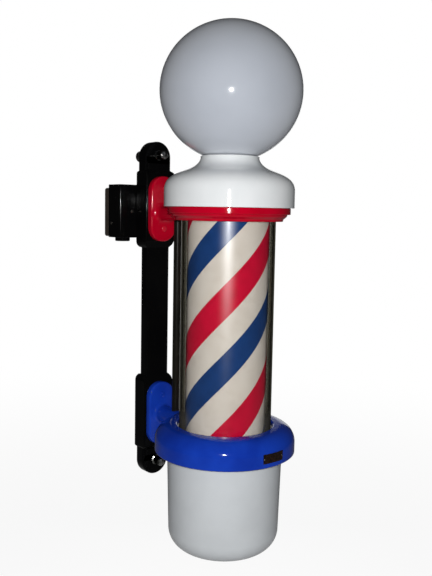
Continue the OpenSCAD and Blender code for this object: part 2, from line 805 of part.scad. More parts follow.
module lower_gasket() {
  packing_h = ring_h - ledge_h - packing_drop;
  color([0.85, 0.85, 0.82]) at_pole(ledge_z) difference() {
    cylinder(r = glass_bore_r - seat_gap, h = packing_h);
    translate([0, 0, -1]) cylinder(r = glass_in_r, h = packing_h + 2);
    translate([0, 0, glass_foot - ledge_z]) ring(glass_d / 2 + run_gap, glass_in_r - 1, packing_h);
  }
}

// Cap and globe

// How far the cap's shoulder and the foot of its neck reach in, and the radius of its rolled lip
cap_shoulder = 28.7;
cap_neck_flare = 29;
lip_r = 2;

// Outline of the cap's shoulder and neck, from the skirt up to the lip
function cap_outline() =
  let (k = cap_d / 2, z = collar_top, n = cap_neck_d / 2, h = cap_h)
  concat(
    curve([k, z + 0.323 * h], [k, z + 0.49 * h],
      [k - 0.3 * cap_shoulder, z + 0.58 * h], [k - cap_shoulder, z + 0.662 * h], 10),
    curve([k - cap_shoulder, z + 0.662 * h], [n + cap_neck_flare, z + 0.745 * h],
      [n + 0.15 * cap_neck_flare, z + 0.785 * h], [n, z + h - 1.25 * lip_r], 12));

module top_cap() {
  outer = cap_outline();
  skirt_r = cap_d / 2;
  foot_r = skirt_r - 4 * cap_wall;
  color(white) difference() {
    at_pole(0) {
      turned(concat([[foot_r, collar_top], [skirt_r - 1, collar_top], [skirt_r, collar_top + 1]],
        outer, flip(shift(outer, [-cap_wall, -cap_wall * 0.8])),
        [[skirt_r - cap_wall, collar_top + cap_wall], [foot_r, collar_top + cap_wall]]));
      turned(arc(cap_neck_d / 2 - 0.6 * lip_r, cap_lip - lip_r, lip_r, 0, 360, 16));
    }
    globe_screw_places() translate([0, 0, -set_screw_d])
      cylinder(d = set_screw_d + bolt_gap, h = 5 * set_screw_d);
  }
}

set_screw_d = 4;
set_screw_z = cap_lip - 9;
holder_rim_r = cap_neck_d / 2 - cap_wall - 2.2;

// Three set screws point at the globe's neck; +Z is outwards
module globe_screw_places() {
  for (a = [50, 170, 290])
    at_pole(set_screw_z) rotate([0, 0, a]) translate([holder_rim_r, 0, 0])
      rotate([0, 90, 0]) children();
}

// Shallow pan on the stem that carries the globe's neck
module globe_holder() {
  wire_hole_d = 12;
  wire_hole_r = holder_rim_r / 2;
  color(steel) difference() {
    at_pole(holder_z) {
      ring(holder_rim_r, stem_r + run_gap, holder_t);
      ring(holder_rim_r, holder_rim_r - holder_t, cap_lip - holder_z - 3);
    }
    globe_screw_places() translate([0, 0, -6]) cylinder(d = set_screw_d, h = 12);
    for (s = [-1, 1])
      translate([s * wire_hole_r, -reach, holder_z - 1]) cylinder(d = wire_hole_d, h = holder_t + 2);
  }
}

module globe_screws() {
  tip = holder_rim_r - neck_r - seat_gap;
  screw_len = cap_neck_d / 2 - neck_r - seat_gap;
  color(brass) globe_screw_places() translate([0, 0, -tip]) difference() {
    cylinder(d = set_screw_d - run_gap, h = screw_len + 1);
    translate([-set_screw_d, -0.5, screw_len - 0.2]) cube([2 * set_screw_d, 1, 3]);
  }
}

module globe() {
  high_r = globe_h / 2;
  inner_r = globe_r - globe_wall;
  inner_neck = neck_r - globe_wall;
  a_out = -acos(neck_r / globe_r);
  a_in = -acos(inner_neck / inner_r);
  color([0.93, 0.93, 0.94]) at_pole(0)
    turned(concat([[inner_neck, globe_foot], [neck_r, globe_foot]],
      oval(globe_z, globe_r, high_r, a_out, 90, 48),
      oval(globe_z, inner_r, high_r - globe_wall, 90, a_in, 48)));
}

// Lampholder on top of the stem, and the lamp in it
lampholder_z = holder_z + holder_t + nut_h;
lampholder_r = 20;
lampholder_h = 42;
lampholder_foot_r = 15;
lampholder_floor = 12;
lamp_cap_r = 13;
lamp_cap_h = 26;
bulb_r = 33;
bulb_h = 90;

module globe_lampholder() {
  foot = lampholder_foot_r;
  floor_z = lampholder_floor;
  color([0.9, 0.88, 0.84]) at_pole(lampholder_z) difference() {
    turned(concat([[0, 0], [foot, 0], [foot, floor_z - 4]],
      curve([foot, floor_z - 4], [foot, floor_z], [lampholder_r, floor_z], [lampholder_r, floor_z + 5], 5),
      [[lampholder_r, lampholder_h], [0, lampholder_h]]));
    translate([0, 0, -1]) cylinder(r = stem_r + run_gap, h = 6);
    translate([0, 0, floor_z]) cylinder(r = lamp_cap_r + 2 * bolt_gap, h = lampholder_h);
  }
}

module globe_lamp() {
  cap = lamp_cap_r;
  foot = lampholder_z + lampholder_floor + 0.5;
  bulb_z = foot + bulb_h;
  color([0.96, 0.95, 0.9]) at_pole(0)
    turned(concat([[0, foot], [cap, foot], [cap, foot + lamp_cap_h]],
      curve([cap, foot + lamp_cap_h], [cap + 2, foot + 0.53 * bulb_h],
        [bulb_r - 2, bulb_z - 0.24 * bulb_h], [bulb_r, bulb_z], 10),
      arc(0, bulb_z, bulb_r, 0, 90, 12)));
}

// Stem and its hardware

module centre_stem() {
  color(steel) at_pole(stem_foot) ring(stem_r, stem_bore / 2, stem_top - stem_foot);
}

module stem_nuts() {
  color(brass) {
    for (z = [holder_z - nut_h, holder_z + holder_t, collar_top, ledge_z - nut_h, plate_top])
      at_pole(z) hex_nut(stem_r + run_gap);
  }
}

module bush(z, h, flange_first) {
  at_pole(z) difference() {
    union() {
      cylinder(r = bush_r, h = h);
      translate([0, 0, flange_first ? 0 : h - bush_flange_t]) cylinder(r = hub_r - 1, h = bush_flange_t);
    }
    translate([0, 0, -1]) cylinder(r = stem_r + run_gap / 2, h = h + 2);
  }
}

module lower_bush() { color(brass) bush(plate_top + nut_h, hub_top - plate_top - nut_h + 2, true); }
module upper_bush() { color(brass) bush(drum_top - hoop_h - 2, hoop_h + 5, false); }

// Drum

module drum() {
  color(cream) at_pole(drum_foot) ring(drum_r, drum_in_r, drum_top - drum_foot);
}

// One helical band on the drum, made by twisting a thin arc
module stripe(start, span) {
  h = drum_top - drum_foot;
  at_pole(drum_foot) rotate([0, 0, start])
    linear_extrude(h, twist = -360 * h / stripe_lead, slices = stripe_slices, segments = 1, $fn = 3)
      polygon(concat(arc(0, 0, stripe_out_r, -span / 2, span / 2, stripe_steps),
        arc(0, 0, stripe_in_r, span / 2, -span / 2, stripe_steps)));
}

module red_stripes() { color(stripe_red) for (a = [0, 180]) stripe(red_start_angle + a, red_span_angle); }
module blue_stripes() { color(navy) for (a = [0, 180]) stripe(blue_start_angle + a, blue_span_angle); }

// Spoked hoop that steadies the drum's top on the stem
module drum_hoop() {
  r = drum_in_r - 0.1;
  rim_t = 4;
  spoke_w = 8;
  spoke_t = 3;
  color(white) at_pole(drum_top - hoop_h) difference() {
    union() {
      ring(r, r - rim_t, hoop_h);
      cylinder(r = hub_r - 2, h = hoop_h);
      for (a = [30, 150, 270]) rotate([0, 0, a]) translate([0, -spoke_w / 2, 0])
        cube([r - rim_t / 2, spoke_w, spoke_t]);
    }
    translate([0, 0, -1]) cylinder(r = bush_r + run_gap, h = hoop_h + 2);
  }
}

table_screw_r = 36;
table_screw_d = 3;
table_hole_r = 62;
table_hole_d = 24;
table_rim_h = 6;

module turntable() {
  rim_r = drum_in_r - 0.1;
  color(white) at_pole(0) difference() {
    union() {
      turned([[0, gear_top], [drum_r, gear_top], [drum_r, drum_foot], [rim_r, drum_foot],
        [rim_r, table_top + table_rim_h], [rim_r - 3, table_top + table_rim_h],
        [rim_r - 3, table_top], [0, table_top]]);
      translate([0, 0, hub_foot]) cylinder(r = hub_r, h = hub_top - hub_foot);
    }
    translate([0, 0, hub_foot - 1]) cylinder(r = bush_r + run_gap, h = hub_top - hub_foot + 2);
    for (a = [60:120:300]) rotate([0, 0, a]) {
      translate([table_screw_r, 0, gear_top - 1]) cylinder(d = table_screw_d, h = table_t + 2);
      translate([table_hole_r, 0, gear_top - 1]) cylinder(d = table_hole_d, h = table_t + 2);
    }
  }
}

module drum_gear() {
  color(white) at_pole(gear_foot) difference() {
    linear_extrude(gear_t) polygon(gear_outline(gear_teeth, gear_module));
    translate([0, 0, -1]) cylinder(r = table_screw_r - 7, h = gear_t + 2);
    for (a = [60:120:300]) rotate([0, 0, a]) translate([table_screw_r, 0, -1])
      cylinder(d = table_screw_d + bolt_gap, h = gear_t + 2);
  }
}

module turntable_screws() {
  color(steel) for (a = [60:120:300])
    at_pole(gear_foot) rotate([0, 0, a]) translate([table_screw_r, 0, 0]) rotate([180, 0, 0])
      round_screw(2 * table_screw_d, 0.6 * table_screw_d, table_screw_d - run_gap, gear_t + table_t - 0.5);
}

// Drive

pinion_foot = gear_foot - 1;
pinion_h = gear_t + 0.4;
shaft_foot = gearbox_top - 8;
motor_screw_d = 4;
motor_screw_in = 8;
motor_post_r = 5;
small_head_d = 7.5;
small_head_h = 2.3;
plate_screw_d = 4;
plate_screw_r = (ledge_in_r + plate_r) / 2;
plate_wire_r = 68;

module pinion() {
  color(brass) translate([axle_off, -reach, pinion_foot]) rotate([0, 0, 180 + 180 / pinion_teeth])
    difference() {
      linear_extrude(pinion_h) polygon(gear_outline(pinion_teeth, gear_module));
      translate([0, 0, -1]) cylinder(d = shaft_d + run_gap, h = pinion_h + 2);
    }
}

module motor_shaft() {
  color(steel) translate([axle_off, -reach, shaft_foot])
    cylinder(d = shaft_d, h = pinion_foot + pinion_h - shaft_foot);
}

module gearmotor() {
  box_r = gearbox_d / 2;
  can_r = can_d / 2;
  can_edge = 4;
  nose_r = 7;
  nose_h = 4;
  color(steel) difference() {
    union() {
      translate([gearbox_x, -reach, gearbox_top - gearbox_h])
        turned([[0, 0], [box_r - 1, 0], [box_r, 1], [box_r, gearbox_h - 1], [box_r - 1, gearbox_h],
          [0, gearbox_h]]);
      translate([gearbox_x, -reach, gearbox_top - gearbox_h - can_h])
        turned(concat([[0, 0]], arc(can_r - can_edge, can_edge, can_edge, 270, 360, 6),
          [[can_r, can_h + 1], [0, can_h + 1]]));
      translate([axle_off, -reach, gearbox_top]) cylinder(r = nose_r, h = nose_h);
    }
    translate([axle_off, -reach, shaft_foot - 0.3])
      cylinder(d = shaft_d + 2 * run_gap, h = gearbox_top + nose_h - shaft_foot + 1);
    for (s = [-1, 1])
      translate([gearbox_x, -reach + s * motor_hole_y, gearbox_top - motor_screw_in - 2])
        cylinder(d = motor_screw_d, h = motor_screw_in + 4);
  }
}

module motor_posts() {
  color(brass) for (s = [-1, 1])
    translate([gearbox_x, -reach + s * motor_hole_y, gearbox_top])
      ring(motor_post_r, (motor_screw_d + bolt_gap) / 2, ledge_z - gearbox_top);
}

module motor_screws() {
  color(steel) for (s = [-1, 1])
    translate([gearbox_x, -reach + s * motor_hole_y, plate_top])
      round_screw(small_head_d, small_head_h, motor_screw_d - run_gap,
        plate_top - gearbox_top + motor_screw_in);
}

module motor_plate() {
  cut_h = plate_t + 2;
  color(steel) translate([0, -reach, ledge_z]) difference() {
    cylinder(r = plate_r, h = plate_t);
    translate([0, 0, -1]) cylinder(r = stem_r + run_gap, h = cut_h);
    translate([axle_off, 0, -1]) cylinder(r = 5, h = cut_h);
    for (s = [-1, 1]) {
      translate([gearbox_x, s * motor_hole_y, -1]) cylinder(d = motor_screw_d + bolt_gap, h = cut_h);
      translate([0, s * plate_wire_r, -1]) cylinder(d = wire_d, h = cut_h);
    }
    for (a = [45:90:315])
      rotate([0, 0, a]) translate([plate_screw_r, 0, -1]) cylinder(d = plate_screw_d + bolt_gap, h = cut_h);
  }
}

module plate_screws() {
  color(steel) for (a = [45:90:315])
    at_pole(plate_top) rotate([0, 0, a]) translate([plate_screw_r, 0, 0])
      round_screw(small_head_d, small_head_h, plate_screw_d - run_gap, plate_t + ledge_h - 3);
}

// Lamp in the drum

lamp_z = lower_holder_z + holder_h;
lamp_len = upper_holder_z - lamp_z;
lamp_cap_len = 12;
pin_len = 7;
pin_d = 2.4;
pin_off = 6.35;

module drum_lamp() {
  color([0.95, 0.96, 0.98]) translate([-lamp_off, -reach, lamp_z]) {
    translate([0, 0, lamp_cap_len]) cylinder(d = tube_lamp_d, h = lamp_len - 2 * lamp_cap_len);
    for (z = [1, lamp_len - lamp_cap_len - 1])
      translate([0, 0, z]) cylinder(d = tube_lamp_d - 0.6, h = lamp_cap_len);
    for (s = [-1, 1])
      translate([0, s * pin_off, 1 - pin_len]) cylinder(d = pin_d, h = lamp_len - 2 + 2 * pin_len);
  }
}

module lampholder(z, up) {
  color([0.95, 0.95, 0.93]) difference() {
    translate([-lamp_off, -reach, z]) linear_extrude(holder_h) soft_rect(holder_w, holder_w + 6, 4);
    for (s = [-1, 1])
      translate([-lamp_off, -reach + s * pin_off, up ? z + holder_h - pin_len - 2 : z - 1])
        cylinder(d = pin_d + 2 * seat_gap, h = pin_len + 3);
  }
}
module lower_lampholder() { lampholder(lower_holder_z, true); }
module upper_lampholder() { lampholder(upper_holder_z, false); }

// Two straps carry the lampholders on clamps round the stem
module lampholder_arms() {
  strap_t = 2.5;
  strap_w = 16;
  clamp_r = 11;
  clamp_h = 7.5;
  color(steel) for (z = [lower_holder_z - strap_t, upper_holder_z + holder_h])
    difference() {
      union() {
        translate([-lamp_off - holder_w / 2, -reach - strap_w / 2, z])
          cube([lamp_off + holder_w / 2, strap_w, strap_t]);
        at_pole(z) cylinder(r = clamp_r, h = clamp_h);
      }
      at_pole(z - 1) cylinder(r = stem_r + run_gap, h = clamp_h + 2);
    }
}

// Electrics in the cup

ballast_size = [36, 100, 30];
ballast_x = -64;
foot_len = 6;

// Case with a thin foot at each end, against the underside of the motor plate
module ballast() {
  color([0.2, 0.2, 0.22]) translate([ballast_x, -reach, ledge_z - ballast_size[2]]) difference() {
    translate([0, -ballast_size[1] / 2, 0]) cube(ballast_size);
    for (y = [-ballast_size[1] / 2 - 1, ballast_size[1] / 2 - foot_len])
      translate([-1, y, -1]) cube([ballast_size[0] + 2, foot_len + 1, ballast_size[2] - 1]);
  }
}

terminal_size = [42, 18, 20];
terminal_y = 44;
terminal_x = 6;
terminal_pitch = 10;
terminal_hole_d = 5;
terminal_hole_h = 7;

module terminal_block() {
  color([0.9, 0.9, 0.86]) translate([terminal_x, terminal_y - reach, ledge_z - terminal_size[2]])
    difference() {
      translate([-terminal_size[0] / 2, 0, 0]) cube(terminal_size);
      for (i = [-1.5:1:1.5])
        translate([i * terminal_pitch, terminal_size[1] / 2, -1])
          cylinder(d = terminal_hole_d, h = terminal_hole_h + 1);
    }
}

// Bottom cup

module bottom_cup() {
  rim = cup_rim_d / 2;
  foot = cup_foot_d / 2;
  r_in = cup_round - cup_wall;
  color(white) at_pole(0) difference() {
    turned(concat([[0, cup_foot]], arc(foot - cup_round, cup_foot + cup_round, cup_round, 270, 360, 14),
      [[rim, ring_foot - 1.5], [rim - 0.8, ring_foot], [rim - cup_wall, ring_foot]],
      arc(foot - cup_wall - r_in, cup_foot + cup_round, r_in, 360, 270, 14), [[0, cup_foot + cup_wall]]));
    translate([0, 0, cup_foot - 1]) cylinder(r = stem_r + bolt_gap, h = cup_wall + 2);
  }
}

module cup_washer() {
  color(steel) at_pole(cup_foot - washer_t) ring(washer_r, stem_r + bolt_gap, washer_t);
}

// Domed nut under the cup, with a blind bore
module cup_nut() {
  dome_r = 10;
  hex_h = 8;
  color(brass) at_pole(cup_foot - washer_t) rotate([180, 0, 0]) difference() {
    union() {
      cylinder(r = nut_r, h = hex_h, $fn = 6);
      turned(concat([[0, 0], [dome_r, 0], [dome_r, hex_h]],
        curve([dome_r, hex_h], [dome_r, hex_h + 5], [0.6 * dome_r, cup_nut_h], [0, cup_nut_h], 8)));
    }
    translate([0, 0, -1]) cylinder(r = stem_r + bolt_gap, h = cup_nut_h - 4.5);
  }
}

back_plate();
wall_box();
box_side_screws();
box_front_screws();
conduit_hub();
rail_bolts();
wall_rail();
lobe_bolts();
lobe_spacers();
red_pad_screws();
blue_pad_screws();
upper_collar();
lower_collar();
conduit_tube();
nameplate();
nameplate_rivets();
glass_cylinder();
upper_gasket();
lower_gasket();
top_cap();
globe_holder();
globe_screws();
globe();
globe_lampholder();
globe_lamp();
centre_stem();
stem_nuts();
upper_bush();
lower_bush();
drum();
red_stripes();
blue_stripes();
drum_hoop();
turntable();
turntable_screws();
drum_gear();
pinion();
motor_shaft();
gearmotor();
motor_posts();
motor_screws();
motor_plate();
plate_screws();
drum_lamp();
lower_lampholder();
upper_lampholder();
lampholder_arms();
ballast();
terminal_block();
bottom_cup();
cup_washer();
cup_nut();
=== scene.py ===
"""Looks of a wall-hung barber pole: opal globe, enamelled cap, collars and cup, a striped drum in
a glass cylinder, and a black cast rail on its wall box.

Lengths of the pole are in millimetres until a mesh is made. The camera, the lamps and the floor
are in metres."""

import math

import bmesh
import bpy
import numpy as np
from mathutils import Matrix, Vector


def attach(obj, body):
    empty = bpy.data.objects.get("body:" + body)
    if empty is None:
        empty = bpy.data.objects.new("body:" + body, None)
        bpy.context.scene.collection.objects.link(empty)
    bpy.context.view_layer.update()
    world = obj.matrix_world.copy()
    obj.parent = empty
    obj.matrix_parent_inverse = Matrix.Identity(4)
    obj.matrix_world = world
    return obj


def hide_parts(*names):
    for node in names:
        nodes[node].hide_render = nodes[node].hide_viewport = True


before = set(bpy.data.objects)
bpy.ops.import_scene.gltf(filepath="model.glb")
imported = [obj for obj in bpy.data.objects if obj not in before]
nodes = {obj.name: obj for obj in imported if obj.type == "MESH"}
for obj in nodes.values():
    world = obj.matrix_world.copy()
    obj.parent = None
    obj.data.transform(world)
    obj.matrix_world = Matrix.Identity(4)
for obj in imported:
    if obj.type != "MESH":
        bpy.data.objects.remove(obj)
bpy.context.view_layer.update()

# Sizes of the pole, as in the part's source. Heights are z, and depths are counted from the wall,
# which is y = 0. SHELL is the wall of the globe, the cap and the cup.
REACH = 370.0
COLLAR_TOP = 15.0
GLASS_TOP, GLASS_FOOT = -3.0, -503.0
GLASS_R, GLASS_IN_R, GLASS_BORE_R = 101.6, 98.6, 105.4
LEDGE_Z = -505.0
RING_FOOT, RING_TOP = -518.5, -459.5
CUP_FOOT, CUP_FOOT_R, CUP_RIM_R, CUP_ROUND = -739.2, 122.7, 127.2, 45.6
SHELL = 3
CAP_R, CAP_H, CAP_NECK_R = 140.7, 108.4, 62.7
CAP_LIP = COLLAR_TOP + CAP_H
GLOBE_R, GLOBE_HIGH, GLOBE_NECK_R = 152.4, 146.5, 50.8
GLOBE_Z = CAP_LIP - 1.6 + GLOBE_HIGH * math.sqrt(1 - (GLOBE_NECK_R / GLOBE_R) ** 2)
DRUM_R, DRUM_FOOT, DRUM_TOP = 88.7, -487.5, -8.0
STRIPE_LEAD = 589.0
RED_PAD_Z, BLUE_PAD_Z = 9.7, -492.0
PAD_HALF_W, PAD_HALF_H, PAD_CORNER = 36.5, 78, 35
RED_ARM_Z = -1.0
BAND_R, COVE_R, COVE_FOOT, COVE_TOP = 133.0, 117, -12.5, 1
SHOULDER_MID_R, SHOULDER_Z, SHOULDER_R = 120, -494.5, 35
BOX_FRONT, BOSS_FRONT, PAD_FRONT = 67.5, 113.5, 128.0
RAIL_BACK, RAIL_FRONT = 77.5, 104.5
BAR_HALF_W, BOSS_HALF_W = 33, 42
BOSS_HALF_H, BOSS_LOBE_SIDE, BOSS_FAR_SIDE, BOSS_BACK_HALF_H = 94, 84, -76, 92.5
LOBE_R, LOBE_BACK, LOBE_FRONT, LOBE_EDGE = 37, 70, 100, 3.4
UPPER_LOBE_Z, LOWER_LOBE_Z = 134.2, -616.5
BOX_MID_Z, BOX_HALF_W, BOX_HALF_H, BOX_BACK, BOX_WALL = 3, 88.5, 64, 17, 4

# Edges that turn by more than this are drawn sharp.
SHARP = math.radians(35)


# ---------------------------------------------------------------- surfaces

def arc(x, y, r, a0, a1, n):
    """Circle about (x, y) from angle a0 to a1 in degrees, in n steps: x + r cos a, y + r sin a."""
    a = np.radians(np.linspace(a0, a1, n + 1))
    return np.stack([x + r * np.cos(a), y + r * np.sin(a)], 1)


def cubic(a, b, c, d, n):
    """Cubic with end points a and d and handles b and c, in n steps.

    The four are weighed by the terms of ((1 - t) + t)^3, with t from 0 to 1."""
    t = np.linspace(0, 1, n + 1)[:, None]
    a, b, c, d = (np.array(p, float) for p in (a, b, c, d))
    return (1 - t) ** 3 * a + 3 * (1 - t) ** 2 * t * b + 3 * (1 - t) * t * t * c + t ** 3 * d


def path(*parts):
    """Joins points and runs of points into one array, without repeated neighbours."""
    p = np.concatenate([np.atleast_2d(np.array(q, float)) for q in parts])
    keep = np.r_[True, np.linalg.norm(np.diff(p, axis=0), axis=1) > 1e-4]
    return p[keep]


def new_piece(name, verts, faces):
    """Makes a mesh from millimetres, with outward faces, smooth but for edges over SHARP."""
    mesh = bpy.data.meshes.new(name)
    mesh.from_pydata((np.asarray(verts) * 0.001).tolist(), [], faces)
    work = bmesh.new()
    work.from_mesh(mesh)
    bmesh.ops.remove_doubles(work, verts=work.verts, dist=1e-7)
    bmesh.ops.recalc_face_normals(work, faces=work.faces)
    work.to_mesh(mesh)
    work.free()
    mesh.polygons.foreach_set("use_smooth", np.ones(len(mesh.polygons), bool))
    mesh.set_sharp_from_angle(angle=SHARP)
    piece = bpy.data.objects.new(name, mesh)
    bpy.context.scene.collection.objects.link(piece)
    return piece


def grid_faces(rows, cols, wrap_rows, wrap_cols):
    """Quads between neighbours of a rows by cols grid of vertices."""
    i = np.arange(rows if wrap_rows else rows - 1)
    j = np.arange(cols if wrap_cols else cols - 1)
    i, j = np.meshgrid(i, j, indexing="ij")
    i2, j2 = (i + 1) % rows, (j + 1) % cols
    corners = [i * cols + j, i * cols + j2, i2 * cols + j2, i2 * cols + j]
    return np.stack(corners, -1).reshape(-1, 4).tolist()


def turned_grid(profile, segments):
    """Profile of (radius, height) carried round the pole's axis.

    At angle a its point is x = r cos a, y = r sin a - reach, at the profile's height."""
    a = np.linspace(0, 2 * np.pi, segments, endpoint=False)[:, None]
    r, z = profile[:, 0][None], profile[:, 1][None]
    x, y = r * np.cos(a), -REACH + r * np.sin(a)
    return np.stack([x, y, np.broadcast_to(z, x.shape)], -1)


def braced(profile):
    """Adds a point near each end of every straight run over 4 mm, to keep its shading flat."""
    near, out = 0.6, [profile[:1]]
    for a, b in zip(profile, profile[1:]):
        length = np.linalg.norm(b - a)
        ends = [near, length - near, length] if length > 4 else [length]
        out.append(a + (b - a) * (np.array(ends) / length)[:, None])
    return np.concatenate(out)


def turned(name, profile, segments, closed=True):
    """Surface of revolution. An open profile starts and ends on the axis, where it is closed."""
    profile = braced(profile)
    grid = turned_grid(profile, segments)
    faces = grid_faces(segments, len(profile), True, closed)
    return new_piece(name, grid.reshape(-1, 3), faces)


def lofted(name, sections):
    """Rings of points joined along the first index and closed by a flat face at each end."""
    sections = np.asarray(sections, float)
    n, m = sections.shape[:2]
    faces = grid_faces(n, m, False, True)
    faces += [list(range(m)), list(range((n - 1) * m, n * m))]
    return new_piece(name, sections.reshape(-1, 3), faces)


def soft_ring(w, h, r, corner, side):
    """Outline of a rounded rectangle of half sizes w and h and corner radius r, anticlockwise.

    A corner is a quarter circle in corner steps. A side has side points between its ends, placed by
    half a cosine, which is closer near the corners."""
    r = min(r, w, h)
    corners = [(w - r, h - r, 0), (-w + r, h - r, 90), (-w + r, -h + r, 180), (w - r, -h + r, 270)]
    runs = [arc(x, y, r, a, a + 90, corner) for x, y, a in corners]
    out = []
    for k, run in enumerate(runs):
        out.append(run)
        t = (0.5 - 0.5 * np.cos(np.linspace(0, np.pi, side + 2)))[1:-1, None]
        out.append(run[-1] * (1 - t) + runs[(k + 1) % 4][0] * t)
    return np.concatenate(out)


def joined(name, pieces):
    """Makes one object of several loose ones, whose meshes are only put together."""
    mesh = bpy.data.meshes.new(name)
    work = bmesh.new()
    for piece in pieces:
        work.from_mesh(piece.data)
        bpy.data.objects.remove(piece)
    work.to_mesh(mesh)
    work.free()
    mesh.set_sharp_from_angle(angle=SHARP)
    whole = bpy.data.objects.new(name, mesh)
    bpy.context.scene.collection.objects.link(whole)
    return whole


# ---------------------------------------------------------------- materials

def ink(r, g, b):
    """Linear colour of an 8-bit screen colour."""
    c = np.array([r, g, b]) / 255.0
    lin = np.where(c <= 0.04045, c / 12.92, ((c + 0.055) / 1.055) ** 2.4)
    return (*lin.tolist(), 1.0)


class Wire:
    """A node's output that can be used in sums. Numbers on either side are taken as they are."""

    def __init__(self, shading, socket):
        self.shading, self.socket = shading, socket

    def _with(self, operation, *values):
        return self.shading.add("ShaderNodeMath", {"operation": operation}, dict(enumerate(values)))

    def __add__(self, other):
        return self._with("ADD", self, other)

    __radd__ = __add__

    def __mul__(self, other):
        return self._with("MULTIPLY", self, other)

    __rmul__ = __mul__

    def __sub__(self, other):
        return self._with("SUBTRACT", self, other)

    def __rsub__(self, other):
        return self._with("SUBTRACT", other, self)

    def ramp(self, low, high):
        """0 below low, 1 above high, and a smooth step between them."""
        return self.shading.add("ShaderNodeMapRange", {"interpolation_type": "SMOOTHSTEP"},
                                {"Value": self, "From Min": low, "From Max": high})


class Shading:
    """The nodes of a material or of the world."""

    def __init__(self, owner, output):
        owner.use_nodes = True
        self.tree = owner.node_tree
        self.tree.nodes.clear()
        self.out = self.tree.nodes.new(output)

    def add(self, kind, settings=None, values=None, out=0):
        """Adds a node with its settings and its sockets' values or links; gives one output."""
        node = self.tree.nodes.new(kind)
        for key, value in (settings or {}).items():
            setattr(node, key, value)
        for key, value in (values or {}).items():
            if isinstance(value, Wire):
                self.tree.links.new(value.socket, node.inputs[key])
            else:
                node.inputs[key].default_value = value
        return Wire(self, node.outputs[out])

    def blend(self, factor, a, b):
        """Mix of two shaders."""
        return self.add("ShaderNodeMixShader", None, {0: factor, 1: a, 2: b})

    def show(self, shader):
        """Links a shader to the output."""
        self.tree.links.new(shader.socket, self.out.inputs[0])

    def rays(self):
        """1 or 0 for each of camera, glossy and transmission rays."""
        return [self.add("ShaderNodeLightPath", out=f"Is {kind} Ray")
                for kind in ("Camera", "Glossy", "Transmission")]


class Finish(Shading):
    """A named material: its own shader, with its uniform values, and the patterns that feed it."""

    def __init__(self, name, **uniform):
        self.material = bpy.data.materials.new(name)
        super().__init__(self.material, "ShaderNodeOutputMaterial")
        self.shader = self.tree.nodes.new("ShaderNodeBsdfPrincipled")
        self.own = Wire(self, self.shader.outputs[0])
        self.show(self.own)
        self.place = self.add("ShaderNodeTexCoord", out="Object")
        for socket, value in uniform.items():
            self.shader.inputs[socket.replace("_", " ")].default_value = value

    def noise(self, scale, detail=2.0, rough=0.5, stretch=(1, 1, 1)):
        """Noise of about scale millimetres a grain, drawn out along the larger stretch."""
        s = 1000.0 / scale
        at = self.add("ShaderNodeMapping", None,
                      {"Vector": self.place, "Scale": tuple(s / k for k in stretch)})
        return self.add("ShaderNodeTexNoise", None,
                        {"Vector": at, "Scale": 1.0, "Detail": detail, "Roughness": rough})

    def mix(self, factor, a, b):
        """Mix of two colours."""
        return self.add("ShaderNodeMix", {"data_type": "RGBA"}, {"Factor": factor, 6: a, 7: b}, 2)

    def feed(self, **sockets):
        """Links patterns to sockets of the material's own shader."""
        for name, wire in sockets.items():
            self.tree.links.new(wire.socket, self.shader.inputs[name.replace("_", " ")])

    def relief(self, height, strength, depth):
        """Bumps of depth millimetres from a height of 0 to 1."""
        self.feed(Normal=self.add("ShaderNodeBump", None, {
            "Strength": strength, "Distance": depth * 0.001, "Height": height}))


def enamel(name, colour, shade, rough, peel, specular=0.5, dust_and_painted_highlight=None):
    """Sprayed gloss enamel: slow shade drift, an orange-peel ripple, and dust on what faces up."""
    f = Finish(name, Specular_IOR_Level=specular)
    drift = f.noise(70, 3)
    speck = f.noise(1.6, 1).ramp(0.70, 0.78)
    tone = f.mix(drift.ramp(0.3, 0.7), ink(*colour), ink(*shade))
    if dust_and_painted_highlight:
        facing = f.add("ShaderNodeNewGeometry", out="Normal")
        up = f.add("ShaderNodeSeparateXYZ", None, {"Vector": facing}, out="Z")
        dust_and_painted_highlight_share = up.ramp(0.35, 1.0) * f.noise(9, 4, 0.65).ramp(0.42, 0.72) * dust_and_painted_highlight[3]
        tone = f.mix(dust_and_painted_highlight_share, tone, ink(*dust_and_painted_highlight[:3]))
        f.feed(Roughness=dust_and_painted_highlight_share * 0.5 + f.noise(35, 3) * 0.08 + (rough - 0.04))
    else:
        f.feed(Roughness=f.noise(35, 3) * 0.08 + (rough - 0.04) + speck * 0.1)
    f.feed(Base_Color=tone)
    f.relief(f.noise(4.5, 2, 0.4) * 0.75 + f.noise(24, 2) * 0.9, peel, 0.12)
    return f.material


def plated(name, colour, dull, rough):
    """Worked metal: fine grain drawn along one way, with duller patches."""
    f = Finish(name, Metallic=1.0)
    patch = f.noise(11, 4, 0.6).ramp(0.35, 0.75)
    grain = f.noise(0.7, 2, 0.5, (1, 1, 14))
    f.feed(Base_Color=f.mix(patch, ink(*colour), ink(*dull)),
           Roughness=patch * 0.22 + grain * 0.15 + (rough - 0.08))
    f.relief(grain, 0.35, 0.05)
    return f.material


def moulded(name, colour, shade, rough, grain=1.2, depth=0.03):
    """Moulded or glazed stuff: an even tone that drifts a little, with a fine skin."""
    f = Finish(name)
    f.feed(Base_Color=f.mix(f.noise(18, 3).ramp(0.3, 0.7), ink(*colour), ink(*shade)),
           Roughness=f.noise(8, 3) * 0.12 + (rough - 0.06))
    f.relief(f.noise(grain, 2), 0.4, depth)
    return f.material


